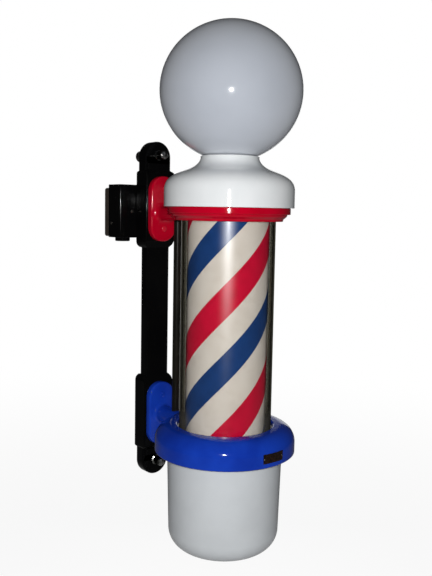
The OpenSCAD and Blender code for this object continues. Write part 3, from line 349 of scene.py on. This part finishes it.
def opal_glass():
    """White flashed glass: cool grey-white, deeper in slow clouds, with painted light that lightens
    it towards its rim, and a fire-polished skin.
    """
    f = Finish("opal_glass", Subsurface_Weight=0.12, Subsurface_Radius=(0.03, 0.03, 0.032),
               Specular_IOR_Level=0.5)
    cloud = f.noise(120, 3, 0.45).ramp(0.3, 0.75)
    speck = f.noise(2.2, 1).ramp(0.72, 0.80)
    tone = f.mix(cloud, ink(184, 189, 198), ink(178, 183, 192))
    # Painted light: the colour turns lighter towards the rim as seen.
    rim = f.add("ShaderNodeLayerWeight", None, {"Blend": 0.5}, out="Facing").ramp(0.15, 0.85)
    tone = f.mix(rim * 0.6, tone, ink(224, 227, 232))
    f.feed(Base_Color=f.mix(speck * 0.25, tone, ink(168, 172, 180)),
           Roughness=f.noise(40, 3) * 0.06 + 0.07)
    f.relief(f.noise(60, 2) * 1.0 + f.noise(7, 2) * 0.15, 0.18, 0.25)
    return f.material


def clear_glass():
    """Drawn glass tube: clear face on, with painted shade that darkens it along its wall in streaks
    along its length, and a painted highlight along its edges at the foot.

    What shows through it is tinted, and over that lie the glow of a lamp, broad with a finer heart,
    and the painted highlight at the foot."""
    f = Finish("clear_glass")
    edge = f.add("ShaderNodeLayerWeight", None, {"Blend": 0.5}, out="Facing")
    streak = f.noise(2.2, 2, 0.55, (1, 1, 90))

    def tint(*colour):
        return f.add("ShaderNodeBsdfTransparent", None, {"Color": (*colour, 1)})

    def glow(rough, settings=None):
        return f.add("ShaderNodeBsdfGlossy", settings, {"Color": (1, 1, 1, 1), "Roughness": rough})

    # Painted shade: the tint darkens in streaks towards the edges, to near black at the very edge.
    wall = f.blend(streak.ramp(0.42, 0.66), tint(0.40, 0.41, 0.38), tint(0.54, 0.49, 0.44))
    wall = f.blend(edge.ramp(0.66, 0.82), wall, tint(0.16, 0.155, 0.13))
    through = f.blend((edge + streak * 0.06).ramp(0.50, 0.62), tint(0.985, 0.99, 0.99), wall)
    gloss = f.blend(0.3, glow(0.345, {"distribution": "BECKMANN"}), glow(0.2))
    fresnel = f.add("ShaderNodeFresnel", None, {"IOR": 1.5})
    sheen = f.add("ShaderNodeMath", {"operation": "MINIMUM"}, {0: fresnel, 1: 0.036})
    height = f.add("ShaderNodeSeparateXYZ", None, {"Vector": f.place}, out="Z")
    # Painted highlight: a grey over the glass's edges near its foot.
    foot = 1 - height.ramp(-0.444, -0.41)
    dust_and_painted_highlight_share = foot * edge.ramp(0.3, 0.6) * streak.ramp(0.25, 0.5) * 0.28
    dust_and_painted_highlight = f.add("ShaderNodeBsdfDiffuse", None, {"Color": ink(128, 124, 112)})
    f.show(f.blend(dust_and_painted_highlight_share, f.blend(sheen, through, gloss), dust_and_painted_highlight))
    return f.material


def drum_paint(name, colour, shade):
    """Printed drum stock: a flat print with faint paper cloud and rub marks along the turn."""
    f = Finish(name, Specular_IOR_Level=0.05)
    cloud = f.noise(26, 4, 0.6).ramp(0.35, 0.75)
    rub = f.noise(3.0, 3, 0.6, (6, 6, 1)).ramp(0.55, 0.8)
    f.feed(Base_Color=f.mix(cloud * 0.7 + rub * 0.3, ink(*colour), ink(*shade)),
           Roughness=cloud * 0.1 + 0.38)
    f.relief(f.noise(0.8, 2), 0.3, 0.02)
    return f.material


def worn_plate():
    """Small blank metal plate, dark and stained, with bright rubbed spots."""
    f = Finish("worn_plate", Metallic=0.7)
    stain = f.noise(5, 4, 0.65).ramp(0.4, 0.65)
    rub = f.noise(1.1, 3, 0.6, (5, 5, 1)).ramp(0.58, 0.72)
    tone = f.mix(stain, ink(34, 24, 22), ink(66, 40, 30))
    f.feed(Base_Color=f.mix(rub * 0.6, tone, ink(112, 92, 76)), Roughness=stain * 0.25 + 0.35)
    f.relief(rub, 0.5, 0.08)
    return f.material


paints = {
    "white_enamel": enamel("white_enamel", (229, 231, 232), (224, 227, 228), 0.05, 0.04),
    # The cup's white is a darker copy of the cap's white enamel: painted shade.
    "cup_enamel_painted_shade": enamel("cup_enamel_painted_shade", (211, 215, 218), (206, 210, 213), 0.13, 0.14),
    "red_enamel": enamel("red_enamel", (186, 3, 36), (172, 2, 30), 0.08, 0.6, 0.25),
    # A lighter red on the pad's screws: painted glint.
    "red_painted_glint": enamel("red_painted_glint", (202, 30, 50), (178, 6, 34), 0.16, 1.2, 0.6),
    "blue_enamel": enamel("blue_enamel", (22, 62, 178), (16, 50, 158), 0.08, 0.5, 0.28),
    "black_enamel": enamel("black_enamel", (9, 9, 9), (6, 6, 7), 0.08, 0.2, 0.06,
                           dust_and_painted_highlight=(70, 68, 64, 0.08)),
    "tube_paint": enamel("tube_paint", (31, 29, 24), (20, 19, 16), 0.3, 0.4, 0.12),
    "plate_paint": enamel("plate_paint", (70, 62, 56), (48, 42, 38), 0.42, 0.6, 0.3),
    "oiled_steel": plated("oiled_steel", (150, 150, 148), (24, 24, 25), 0.1),
    "dull_steel": plated("dull_steel", (124, 120, 114), (60, 56, 52), 0.3),
    "zinc_steel": plated("zinc_steel", (196, 198, 200), (140, 142, 146), 0.3),
    "brass": plated("brass", (206, 170, 96), (150, 116, 60), 0.26),
    "opal_glass": opal_glass(),
    "clear_glass": clear_glass(),
    "lamp_glass": moulded("lamp_glass", (240, 240, 236), (230, 230, 226), 0.2, 6, 0.02),
    "drum_cream": drum_paint("drum_cream", (222, 212, 200), (210, 198, 184)),
    "stripe_red": drum_paint("stripe_red", (206, 12, 52), (188, 8, 44)),
    "stripe_navy": drum_paint("stripe_navy", (25, 62, 118), (16, 50, 100)),
    "white_nylon": moulded("white_nylon", (232, 228, 218), (220, 216, 204), 0.4),
    "porcelain": moulded("porcelain", (236, 234, 226), (226, 222, 212), 0.18),
    "case_grey": enamel("case_grey", (62, 62, 66), (52, 52, 56), 0.35, 0.4, 0.4),
    "packing": moulded("packing", (206, 202, 192), (188, 184, 172), 0.7, 0.6, 0.1),
    "worn_plate": worn_plate(),
}

# CAD nodes that stay as they are, and what they are finished in
node_paint = {
    "black_enamel": ["conduit_hub"],
    "oiled_steel": ["lobe_bolts"],
    "tube_paint": ["conduit_tube"],
    "plate_paint": ["back_plate"],
    "dull_steel": ["lobe_spacers", "nameplate_rivets", "box_side_screws", "box_front_screws"],
    "zinc_steel": ["rail_bolts", "globe_holder", "centre_stem", "turntable_screws", "motor_shaft",
                   "gearmotor", "motor_screws", "motor_plate", "plate_screws", "lampholder_arms",
                   "cup_washer"],
    "brass": ["globe_screws", "stem_nuts", "upper_bush", "lower_bush", "pinion", "motor_posts",
              "cup_nut"],
    # Painted glint on the red pad's screws.
    "red_painted_glint": ["red_pad_screws"],
    "blue_enamel": ["blue_pad_screws"],
    "white_nylon": ["drum_hoop", "turntable", "drum_gear"],
    "porcelain": ["globe_lampholder", "lower_lampholder", "upper_lampholder", "terminal_block"],
    "lamp_glass": ["globe_lamp", "drum_lamp"],
    "case_grey": ["ballast"],
    "packing": ["upper_gasket", "lower_gasket"],
    "worn_plate": ["nameplate"],
}


def painted(piece, paint):
    """Gives a piece one finish, in all its material slots."""
    if not piece.material_slots:
        piece.data.materials.append(paints[paint])
    for holder in piece.material_slots:
        holder.material = paints[paint]


for paint, names in node_paint.items():
    for name in names:
        painted(nodes[name], paint)


def dressed(piece, body, paint, stands_for):
    """Puts a new piece on its body, in place of the CAD nodes it stands for.

    Its slot has the name of its paint."""
    painted(piece, paint)
    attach(piece, body)
    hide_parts(*stands_for)


# ---------------------------------------------------------------- globe, cap and cup

def globe_shell():
    """Flattened round on a straight neck, down the outside and back up the inside.

    The round is an ellipse, GLOBE_R across and GLOBE_HIGH up, and the wall's thickness less inside.
    It meets the neck at the angle whose cosine is neck radius / globe radius. The neck's foot is
    half a circle."""
    inner_r, inner_high = GLOBE_R - SHELL, GLOBE_HIGH - SHELL
    a_out = -math.degrees(math.acos(GLOBE_NECK_R / GLOBE_R))
    a_in = -math.degrees(math.acos((GLOBE_NECK_R - SHELL) / inner_r))
    outer = arc(0, 0, 1, 90, a_out, 110) * [GLOBE_R, GLOBE_HIGH] + [0, GLOBE_Z]
    inner = arc(0, 0, 1, a_in, 90, 70) * [inner_r, inner_high] + [0, GLOBE_Z]
    half = SHELL / 2
    foot = CAP_LIP - 20 + half
    rim = arc(GLOBE_NECK_R - half, foot, half, 0, -180, 8)
    return path(outer, [GLOBE_NECK_R, foot], rim, inner)


dressed(turned("globe_shell", globe_shell(), 240, closed=False), "globe", "opal_glass", ["globe"])


def cap_shell():
    """Upright skirt, round shoulder, waisted neck and rolled lip, then the same line further in.

    Two cubics make the side: one over the shoulder, and one down its slope and up the neck."""
    k, n, z, h = CAP_R, CAP_NECK_R, COLLAR_TOP, CAP_H
    skirt, slope = [k, z + 35], [k - 28.7, z + 0.662 * h]
    shoulder = cubic(skirt, [k, z + 0.49 * h], [k - 8.7, z + 0.58 * h], slope, 30)
    waist = cubic(slope, [n + 29, z + 0.745 * h], [n + 4.3, z + 0.785 * h], [n, z + h - 3], 36)
    side = path(skirt, shoulder, waist)
    lip = arc(n - 1.3, CAP_LIP - 2.1, 2.1, -20, 200, 14)
    return path([k - 12, z], arc(k - 1, z + 1, 1, -90, 0, 4), side, lip,
                (side - [SHELL, 2.4])[::-1], [k - SHELL, z + SHELL], [k - 12, z + SHELL])


dressed(turned("cap_shell", cap_shell(), 240), "stand", "white_enamel", ["top_cap"])


def cup_shell():
    """Tapered wall with a quarter circle to its foot, a hole for the stem and a round rim."""
    hole_r, edge = 7, 1.2
    x, z = CUP_FOOT_R - CUP_ROUND, CUP_FOOT + CUP_ROUND
    top = RING_FOOT - edge
    return path([hole_r, CUP_FOOT], arc(x, z, CUP_ROUND, 270, 360, 30), [CUP_RIM_R, top],
                arc(CUP_RIM_R - edge, top, edge, 0, 90, 5), [CUP_RIM_R - SHELL, RING_FOOT],
                arc(x, z, CUP_ROUND - SHELL, 360, 270, 24), [hole_r, CUP_FOOT + SHELL])


# The cup's paint carries painted shade.
dressed(turned("cup_shell", cup_shell(), 240), "cup", "cup_enamel_painted_shade", ["bottom_cup"])


# ---------------------------------------------------------------- glass, drum and stripes

def tube(outer, inner, foot, top, edge):
    """Straight tube whose two ends are rounded over by edge: a quarter circle at each corner."""
    corners = [(inner + edge, foot + edge, 180), (outer - edge, foot + edge, 270),
               (outer - edge, top - edge, 0), (inner + edge, top - edge, 90)]
    return path(*(arc(x, z, edge, a, a + 90, 6) for x, z, a in corners))


dressed(turned("glass_tube", tube(GLASS_R, GLASS_IN_R, GLASS_FOOT, GLASS_TOP, 1.4), 256),
        "stand", "clear_glass", ["glass_cylinder"])
dressed(turned("drum_tube", tube(DRUM_R, DRUM_R - 1.5, DRUM_FOOT, DRUM_TOP, 0.3), 256),
        "drum", "drum_cream", ["drum"])


def helix_band(turn, span):
    """Helical band just off the drum, span degrees wide, its middle at turn degrees at the foot.

    At height z over the drum's foot its arc is turned by 360 z / lead, so its edges are helices."""
    columns = 29
    z = np.linspace(DRUM_FOOT, DRUM_TOP, 241)
    a = np.radians(np.linspace(-span / 2, span / 2, columns))
    r = np.repeat([DRUM_R + 0.35, DRUM_R + 0.12], columns)[None]
    angle = (np.concatenate([a, a[::-1]])[None]
             + np.radians(turn + 360 * (z - DRUM_FOOT) / STRIPE_LEAD)[:, None])
    x, y = r * np.cos(angle), r * np.sin(angle) - REACH
    return lofted("band", np.stack([x, y, np.broadcast_to(z[:, None], angle.shape)], -1))


for name, turn, span, paint, node in (("red_bands", 39.2, 45.6, "stripe_red", "red_stripes"),
                                      ("navy_bands", 126.2, 41.4, "stripe_navy", "blue_stripes")):
    pair = [helix_band(turn, span), helix_band(turn + 180, span)]
    dressed(joined(name, pair), "drum", paint, [node])


# ---------------------------------------------------------------- castings of the pole

def at_depth(ring, y):
    """Places an outline drawn as [x, z] at depth y, one value or one for each point."""
    return np.stack([ring[:, 0], np.broadcast_to(y, len(ring)), ring[:, 1]], 1)


def outward(ring):
    """Unit normals of a closed outline that runs anticlockwise."""
    along = np.roll(ring, -1, 0) - np.roll(ring, 1, 0)
    along /= np.linalg.norm(along, axis=1)[:, None]
    return np.stack([along[:, 1], -along[:, 0]], 1)


def oblong_pad(z):
    """Oblong pad with round corners, its front edge a quarter circle and its face slightly crowned.

    On the face, an outline drawn in by an inset lies at depth front - crown (1 - t)^2, with t from
    the edge (0) to the middle (1)."""
    edge, crown, innermost = 4.6, 0.5, 34

    def outline(inset):
        return soft_ring(PAD_HALF_W - inset, PAD_HALF_H - inset, max(PAD_CORNER - inset, 2), 20, 12)

    rings = [at_depth(outline(0), -BOSS_FRONT)]
    for a in np.radians(np.linspace(0, 90, 9)):
        depth = PAD_FRONT - crown - edge + edge * math.sin(a)
        rings.append(at_depth(outline(edge * (1 - math.cos(a))), -depth))
    for inset in np.linspace(edge + 1.5, innermost, 9):
        t = (inset - edge) / (innermost - edge)
        rings.append(at_depth(outline(inset), -(PAD_FRONT - crown * (1 - t) ** 2)))
    return lofted("pad", [ring + [0, 0, z] for ring in rings])


def arm(ring, surface, foot_flare, end_flare, z_low, z_high):
    """Arm between a pad and a ring, flared like a quarter circle of fillet at both ends.

    Along the fillet angle t the outline moves out by f (1 - cos t) while its distance from the pad,
    or from the ring's own surface y(x, z), falls as f (1 - sin t). Both ends go on a little way
    into what they join. Heights stay within z_low and z_high at the ring's end."""
    into_pad, into_ring = 3, 5
    out = outward(ring)
    fillet = np.radians(np.linspace(90, 0, 13))
    rings = [at_depth(ring + out * foot_flare, -PAD_FRONT + into_pad)]
    for t in fillet:
        depth = PAD_FRONT + foot_flare * (1 - math.sin(t))
        rings.append(at_depth(ring + out * foot_flare * (1 - math.cos(t)), -depth))
    near = rings[-1][:, 1]
    far = surface(ring[:, 0], ring[:, 1]) + end_flare
    rings += [at_depth(ring, near + (far - near) * t) for t in np.linspace(0, 1, 14)[1:-1]]
    for t in fillet[::-1]:
        x, z = (ring + out * (end_flare * (1 - math.cos(t)))).T
        z = np.clip(z, z_low, z_high)
        y = surface(x, z) + end_flare * (1 - math.sin(t))
        rings.append(np.stack([x, y, z], 1))
    rings.append(rings[-1] - [0, into_ring, 0])
    return lofted("arm", rings)


def cove_line(n):
    """The red collar's cove, a cubic from its foot out to the underside of its band, in n steps."""
    out_r, half_way = COVE_R + 9, COVE_FOOT / 2
    return cubic([COVE_R, COVE_FOOT], [COVE_R, half_way], [out_r, half_way], [out_r, COVE_TOP], n)


def red_surface(x, z):
    """y of the red collar's outside at (x, z): a circle of the band's or the cove's radius."""
    run = cove_line(40)
    radius = np.where(z > COVE_TOP, BAND_R, np.interp(z, run[:, 1], run[:, 0]))
    return -REACH + np.sqrt(radius ** 2 - x ** 2)


def blue_surface(x, z):
    """y of the blue ring's outside at (x, z): a circle, even as far up as SHOULDER_Z.

    Above that its radius follows the quarter circle of the shoulder."""
    rise = np.clip(z - SHOULDER_Z, 0, SHOULDER_R - 1)
    radius = SHOULDER_MID_R + np.sqrt(SHOULDER_R ** 2 - rise ** 2)
    return -REACH + np.sqrt(radius ** 2 - x ** 2)


def red_ring():
    """Flange over the glass, bore, foot, cove, and a band with round edges."""
    bore, hole, foot, round_r, bevel = GLASS_BORE_R, 80, COVE_FOOT - 1, 2, 0.5
    edge = BAND_R - round_r
    return path([hole, bevel], [hole + bevel, 0], [bore - bevel, 0], [bore, -bevel],
                [bore, foot + bevel], [bore + bevel, foot],
                arc(COVE_R - 1, COVE_FOOT, 1, 270, 360, 4), cove_line(18),
                arc(edge, COVE_TOP + round_r, round_r, 270, 360, 7),
                arc(edge, COLLAR_TOP - round_r, round_r, 0, 90, 7),
                [hole + bevel, COLLAR_TOP], [hole, COLLAR_TOP - bevel])


def blue_ring():
    """Ledge, underside with its hollow channel, outer wall, round shoulder, mouth and bore."""
    z, hole, foot_r, channel_r, wall, mouth = RING_FOOT, 86, 132.2, 110.9, 6, 3.5
    hollow_r = SHOULDER_R - wall
    outside = SHOULDER_MID_R + SHOULDER_R
    return path([hole, z], [foot_r, z], [foot_r, z + 7.5], [channel_r, z + 7.5],
                [channel_r, RING_TOP - 10], arc(SHOULDER_MID_R, SHOULDER_Z, hollow_r, 90, 0, 20),
                [outside - wall, z], arc(outside - wall / 2, z + wall / 2, wall / 2, 270, 360, 8),
                arc(SHOULDER_MID_R, SHOULDER_Z, SHOULDER_R, 0, 90, 30),
                arc(GLASS_BORE_R + mouth, RING_TOP - mouth, mouth, 90, 180, 8),
                [GLASS_BORE_R, LEDGE_Z], [hole, LEDGE_Z])


def spider():
    """Hub on the stem with four flat arms at 45 degrees, inside the red collar.

    An arm's section is carried out along angle a: (x, y) = r (cos a, sin a) + s (-sin a, cos a)."""
    hole, hub_r, high, bevel = 6.5, 18, COLLAR_TOP, 0.5
    hub = path([hole, 0], [hub_r - bevel, 0], [hub_r, bevel], [hub_r, high - bevel],
               [hub_r - bevel, high], [hole, high])
    parts = [turned("hub", hub, 64)]
    section = soft_ring(7, 5.5, 1.2, 4, 2)
    across, z = section[:, 0], section[:, 1] + 5.5
    for a in np.radians([45, 135, 225, 315]):
        c, s = math.cos(a), math.sin(a)
        rings = [np.stack([r * c - across * s, -REACH + r * s + across * c, z], 1)
                 for r in np.linspace(hub_r - 2, 84, 5)]
        parts.append(lofted("bar", rings))
    return parts


red_arm = arm(soft_ring(23, 15, 12, 10, 4) + [0, RED_ARM_Z], red_surface, 12, 6, -16.2, 14.3)
red_parts = [turned("ring", red_ring(), 256), oblong_pad(RED_PAD_Z), red_arm] + spider()
dressed(joined("red_casting", red_parts), "stand", "red_enamel", ["upper_collar"])

blue_arm = arm(arc(0, BLUE_PAD_Z, 20, 0, 360, 64)[:-1], blue_surface, 9, 7,
               RING_FOOT + 0.3, RING_TOP)
blue_parts = [turned("ring", blue_ring(), 256), oblong_pad(BLUE_PAD_Z), blue_arm]
dressed(joined("blue_casting", blue_parts), "stand", "blue_enamel", ["lower_collar"])


# ---------------------------------------------------------------- rail and box

def boss_line(up):
    """Half width, front and back of the rail at heights up above a boss's middle, its lobe at +up.

    Width: the boss's, with a cubic to the bar's over 10 mm at the lobe's end and 18 mm at the
    other. Front: the boss's, and straight to the bar's over the same lengths. Back: the boss's as
    far as the last 1.5 mm."""
    end, wide, narrow = BOSS_HALF_H, BOSS_HALF_W, BAR_HALF_W
    top = cubic([narrow, end], [narrow + 2, 90], [wide, 91], [wide, BOSS_LOBE_SIDE], 20)
    foot = cubic([wide, BOSS_FAR_SIDE], [wide, -89.5], [narrow + 4, -88.6], [narrow, -end], 20)
    side = np.concatenate([top, foot])[::-1]
    width = np.interp(up, side[:, 1], side[:, 0])
    front = np.interp(up, [-end, BOSS_FAR_SIDE, BOSS_LOBE_SIDE, end],
                      [RAIL_FRONT, BOSS_FRONT, BOSS_FRONT, RAIL_FRONT])
    back = np.interp(up, [-end, -BOSS_BACK_HALF_H, BOSS_BACK_HALF_H, end],
                     [RAIL_BACK, BOX_FRONT, BOX_FRONT, RAIL_BACK])
    return width, front, back


def upright(ring, y, z):
    """Places an outline drawn as [x, y] at height z, its middle at -y."""
    return np.stack([ring[:, 0], ring[:, 1] - y, np.full(len(ring), z)], 1)


def rail_bar():
    """Bar from lobe to lobe that swells into the two bosses. The lower boss mirrors the upper.

    Its edges are round by 5, and by up to 1.4 less as it widens."""
    end, back_end = BOSS_HALF_H, BOSS_BACK_HALF_H
    up = np.unique(np.concatenate([
        np.linspace(-end, -back_end, 3), np.linspace(-back_end, BOSS_FAR_SIDE, 14), [-60, 60],
        np.linspace(BOSS_LOBE_SIDE, back_end, 9), np.linspace(back_end, end, 3)]))
    past_boss, into_lobe = [-end - 5], 16
    z = np.concatenate([[LOWER_LOBE_Z + into_lobe], BLUE_PAD_Z - up[::-1],
                        RED_PAD_Z + up, [UPPER_LOBE_Z - into_lobe]])
    sizes = boss_line(np.concatenate([past_boss, up[::-1], up, past_boss]))
    rings = []
    for w, front, back, height in zip(*sizes, z):
        swell = (w - BAR_HALF_W) / (BOSS_HALF_W - BAR_HALF_W)
        ring = soft_ring(w, (front - back) / 2, 5 - 1.4 * swell, 8, 6)
        rings.append(upright(ring, (front + back) / 2, height))
    return lofted("bar", rings)


def lobe(z, boss_end):
    """Disc with rounded rims at height z, and a slab of the same section as far as its boss."""
    edge, segments = LOBE_EDGE, 120
    side = path([0, -LOBE_BACK], arc(LOBE_R - edge, -LOBE_BACK - edge, edge, 90, 0, 8),
                arc(LOBE_R - edge, -LOBE_FRONT + edge, edge, 0, -90, 8), [0, -LOBE_FRONT])
    r, y = side.T
    a = np.linspace(0, 2 * np.pi, segments, endpoint=False)[:, None]
    x, up = r * np.cos(a), z + r * np.sin(a)
    disc = np.stack([x, np.broadcast_to(y, x.shape), up], -1).reshape(-1, 3)
    ring = soft_ring(LOBE_R, (LOBE_FRONT - LOBE_BACK) / 2, edge, 8, 4)
    slab = [upright(ring, (LOBE_FRONT + LOBE_BACK) / 2, height)
            for height in np.linspace(z, boss_end, 5)]
    return [new_piece("disc", disc, grid_faces(segments, len(side), True, False)),
            lofted("slab", slab)]


into_boss = 8
rail_parts = ([rail_bar()] + lobe(UPPER_LOBE_Z, RED_PAD_Z + BOSS_HALF_H - into_boss)
              + lobe(LOWER_LOBE_Z, BLUE_PAD_Z - BOSS_HALF_H + into_boss))
dressed(joined("rail_casting", rail_parts), "stand", "black_enamel", ["wall_rail"])


def box_shell():
    """Box open at the back: outlines in x and z, from the front face to the rim and then inside.

    The upright front edges are round by 8, so at depth t half the width is
    w - 8 + sqrt(64 - (8 - t)^2). The level edges are round by 1.6 in the same way."""
    upright_r, level_r, rim = 8, 1.6, 0.6
    w, h, wall = BOX_HALF_W, BOX_HALF_H, BOX_WALL

    def outline(half_w, half_h, y):
        return at_depth(soft_ring(half_w, half_h, 2.0, 5, 3) + [0, BOX_MID_Z], y)

    def rounded(r, t):
        """How far an edge of radius r is drawn in at depth t."""
        return r - math.sqrt(max(0, r ** 2 - (r - min(t, r)) ** 2))

    rings = [outline(w - rounded(upright_r, t), h - rounded(level_r, t), -BOX_FRONT + t)
             for t in upright_r - upright_r * np.cos(np.radians(np.linspace(0, 90, 17)))]
    rings += [outline(w - inset, h - inset, y) for inset, y in (
        (0, -BOX_BACK - rim), (rim, -BOX_BACK), (wall - rim, -BOX_BACK),
        (wall, -BOX_BACK - rim), (wall, -BOX_FRONT + wall))]
    return lofted("box_shell", rings)


dressed(box_shell(), "stand", "black_enamel", ["wall_box"])


# ---------------------------------------------------------------- camera, light and stage

scene = bpy.context.scene
scene.view_settings.view_transform = "Standard"

# The photo's camera: lengths in metres, LENS and SENSOR in millimetres, and angles in degrees but
# for ROLL in radians. It looks a little past the pole, to the left.
AZIMUTH, PITCH, ROLL, AIM_LEFT = -40.0, 5.79, 0.0182, 0.883
DISTANCE, EYE_Z, LENS, SENSOR = 1.6261, 0.005, 46.875, 36
forward = Vector((-math.sin(math.radians(AZIMUTH)), math.cos(math.radians(AZIMUTH)), 0))
eye = Vector((0, -REACH * 0.001, EYE_Z)) - forward * DISTANCE
camera = bpy.data.objects.new("camera", bpy.data.cameras.new("camera"))
camera.data.sensor_width = SENSOR
camera.data.lens = LENS
camera.location = eye
heading = math.radians(AZIMUTH + AIM_LEFT)
aim = Matrix.Rotation(heading, 3, "Z") @ Matrix.Rotation(math.radians(90 - PITCH), 3, "X")
camera.rotation_euler = (aim @ Matrix.Rotation(ROLL, 3, "Z")).to_euler()
scene.collection.objects.link(camera)
scene.camera = camera


def lamp(name, place, power, size, mirrored):
    """Round lamp that points at the pole. Only a mirrored one shows as a highlight."""
    light = bpy.data.lights.new(name, "AREA")
    light.energy = power
    light.shape = "DISK"
    light.size = size
    piece = bpy.data.objects.new(name, light)
    piece.location = place
    piece.rotation_euler = (middle - place).to_track_quat("-Z", "Y").to_euler()
    piece.visible_glossy = mirrored
    scene.collection.objects.link(piece)


# A small lamp over the lens, a soft one close behind it, and a large one on the pole's far side
middle = Vector((0, -REACH * 0.001, -0.15))
lamp("lens_side", eye + Vector((0, 0, 0.042)), 16, 0.03, True)
lamp("soft_front", eye - forward * 0.1, 8.7, 0.5, False)
lamp("soft_back", middle * 2 - eye + forward * 0.6, 20, 1.2, False)

# The camera sees a white room. Metal and glass see it white within BACKDROP degrees of the view.
# Its other light is dim, and dimmer still in reflections.
WHITE = (1, 1, 1, 1)
BACKDROP, FILL, LESS_IN_GLOSS = 16, 0.06, 0.03
world = bpy.data.worlds.new("studio")
scene.world = world
room = Shading(world, "ShaderNodeOutputWorld")
camera_ray, glossy_ray, through_ray = room.rays()
looks = room.add("ShaderNodeTexCoord", out="Generated")
along = room.add("ShaderNodeVectorMath", {"operation": "DOT_PRODUCT"},
                 {0: looks, 1: forward}, "Value")
backdrop = room.add("ShaderNodeMath", {"operation": "GREATER_THAN"},
                    {0: along, 1: math.cos(math.radians(BACKDROP))})
dim = room.add("ShaderNodeBackground", None,
               {"Color": (1, 1.01, 1.04, 1), "Strength": FILL - glossy_ray * LESS_IN_GLOSS})
white = room.add("ShaderNodeBackground", None, {"Color": WHITE})
room.show(room.blend(camera_ray + (glossy_ray + through_ray) * backdrop, dim, white))

# Pale floor, well under the pole. To the camera most of it is plain white, a little less near the
# pole, where the shadow shows. Metal and glass see a small share of that white.
FLOOR_HALF, FLOOR_Z, WHITE_SHARE, GLOSS_SHARE = 9, -1.6, 0.92, 0.04
corners = [(x * FLOOR_HALF, y * FLOOR_HALF, FLOOR_Z)
           for x, y in ((-1, -1), (1, -1), (1, 1), (-1, 1))]
floor_mesh = bpy.data.meshes.new("floor")
floor_mesh.from_pydata(corners, [], [(0, 1, 2, 3)])
floor = bpy.data.objects.new("floor", floor_mesh)
scene.collection.objects.link(floor)
pale = Finish("floor_paper")
pale.feed(Base_Color=pale.mix(pale.noise(400, 2), (0.82, 0.82, 0.82, 1), (0.85, 0.85, 0.85, 1)))
camera_ray, glossy_ray, through_ray = pale.rays()
distance = pale.add("ShaderNodeVectorMath", {"operation": "LENGTH"}, {0: pale.place}, "Value")
whiteness = distance.ramp(1.8, 6.0) * (1 - WHITE_SHARE) + WHITE_SHARE
share = (camera_ray + GLOSS_SHARE * (glossy_ray + through_ray)) * whiteness
lit = pale.add("ShaderNodeEmission", None, {"Color": WHITE, "Strength": 1.0})
pale.show(pale.blend(share, pale.own, lit))
floor_mesh.materials.append(pale.material)

bpy.context.view_layer.update()
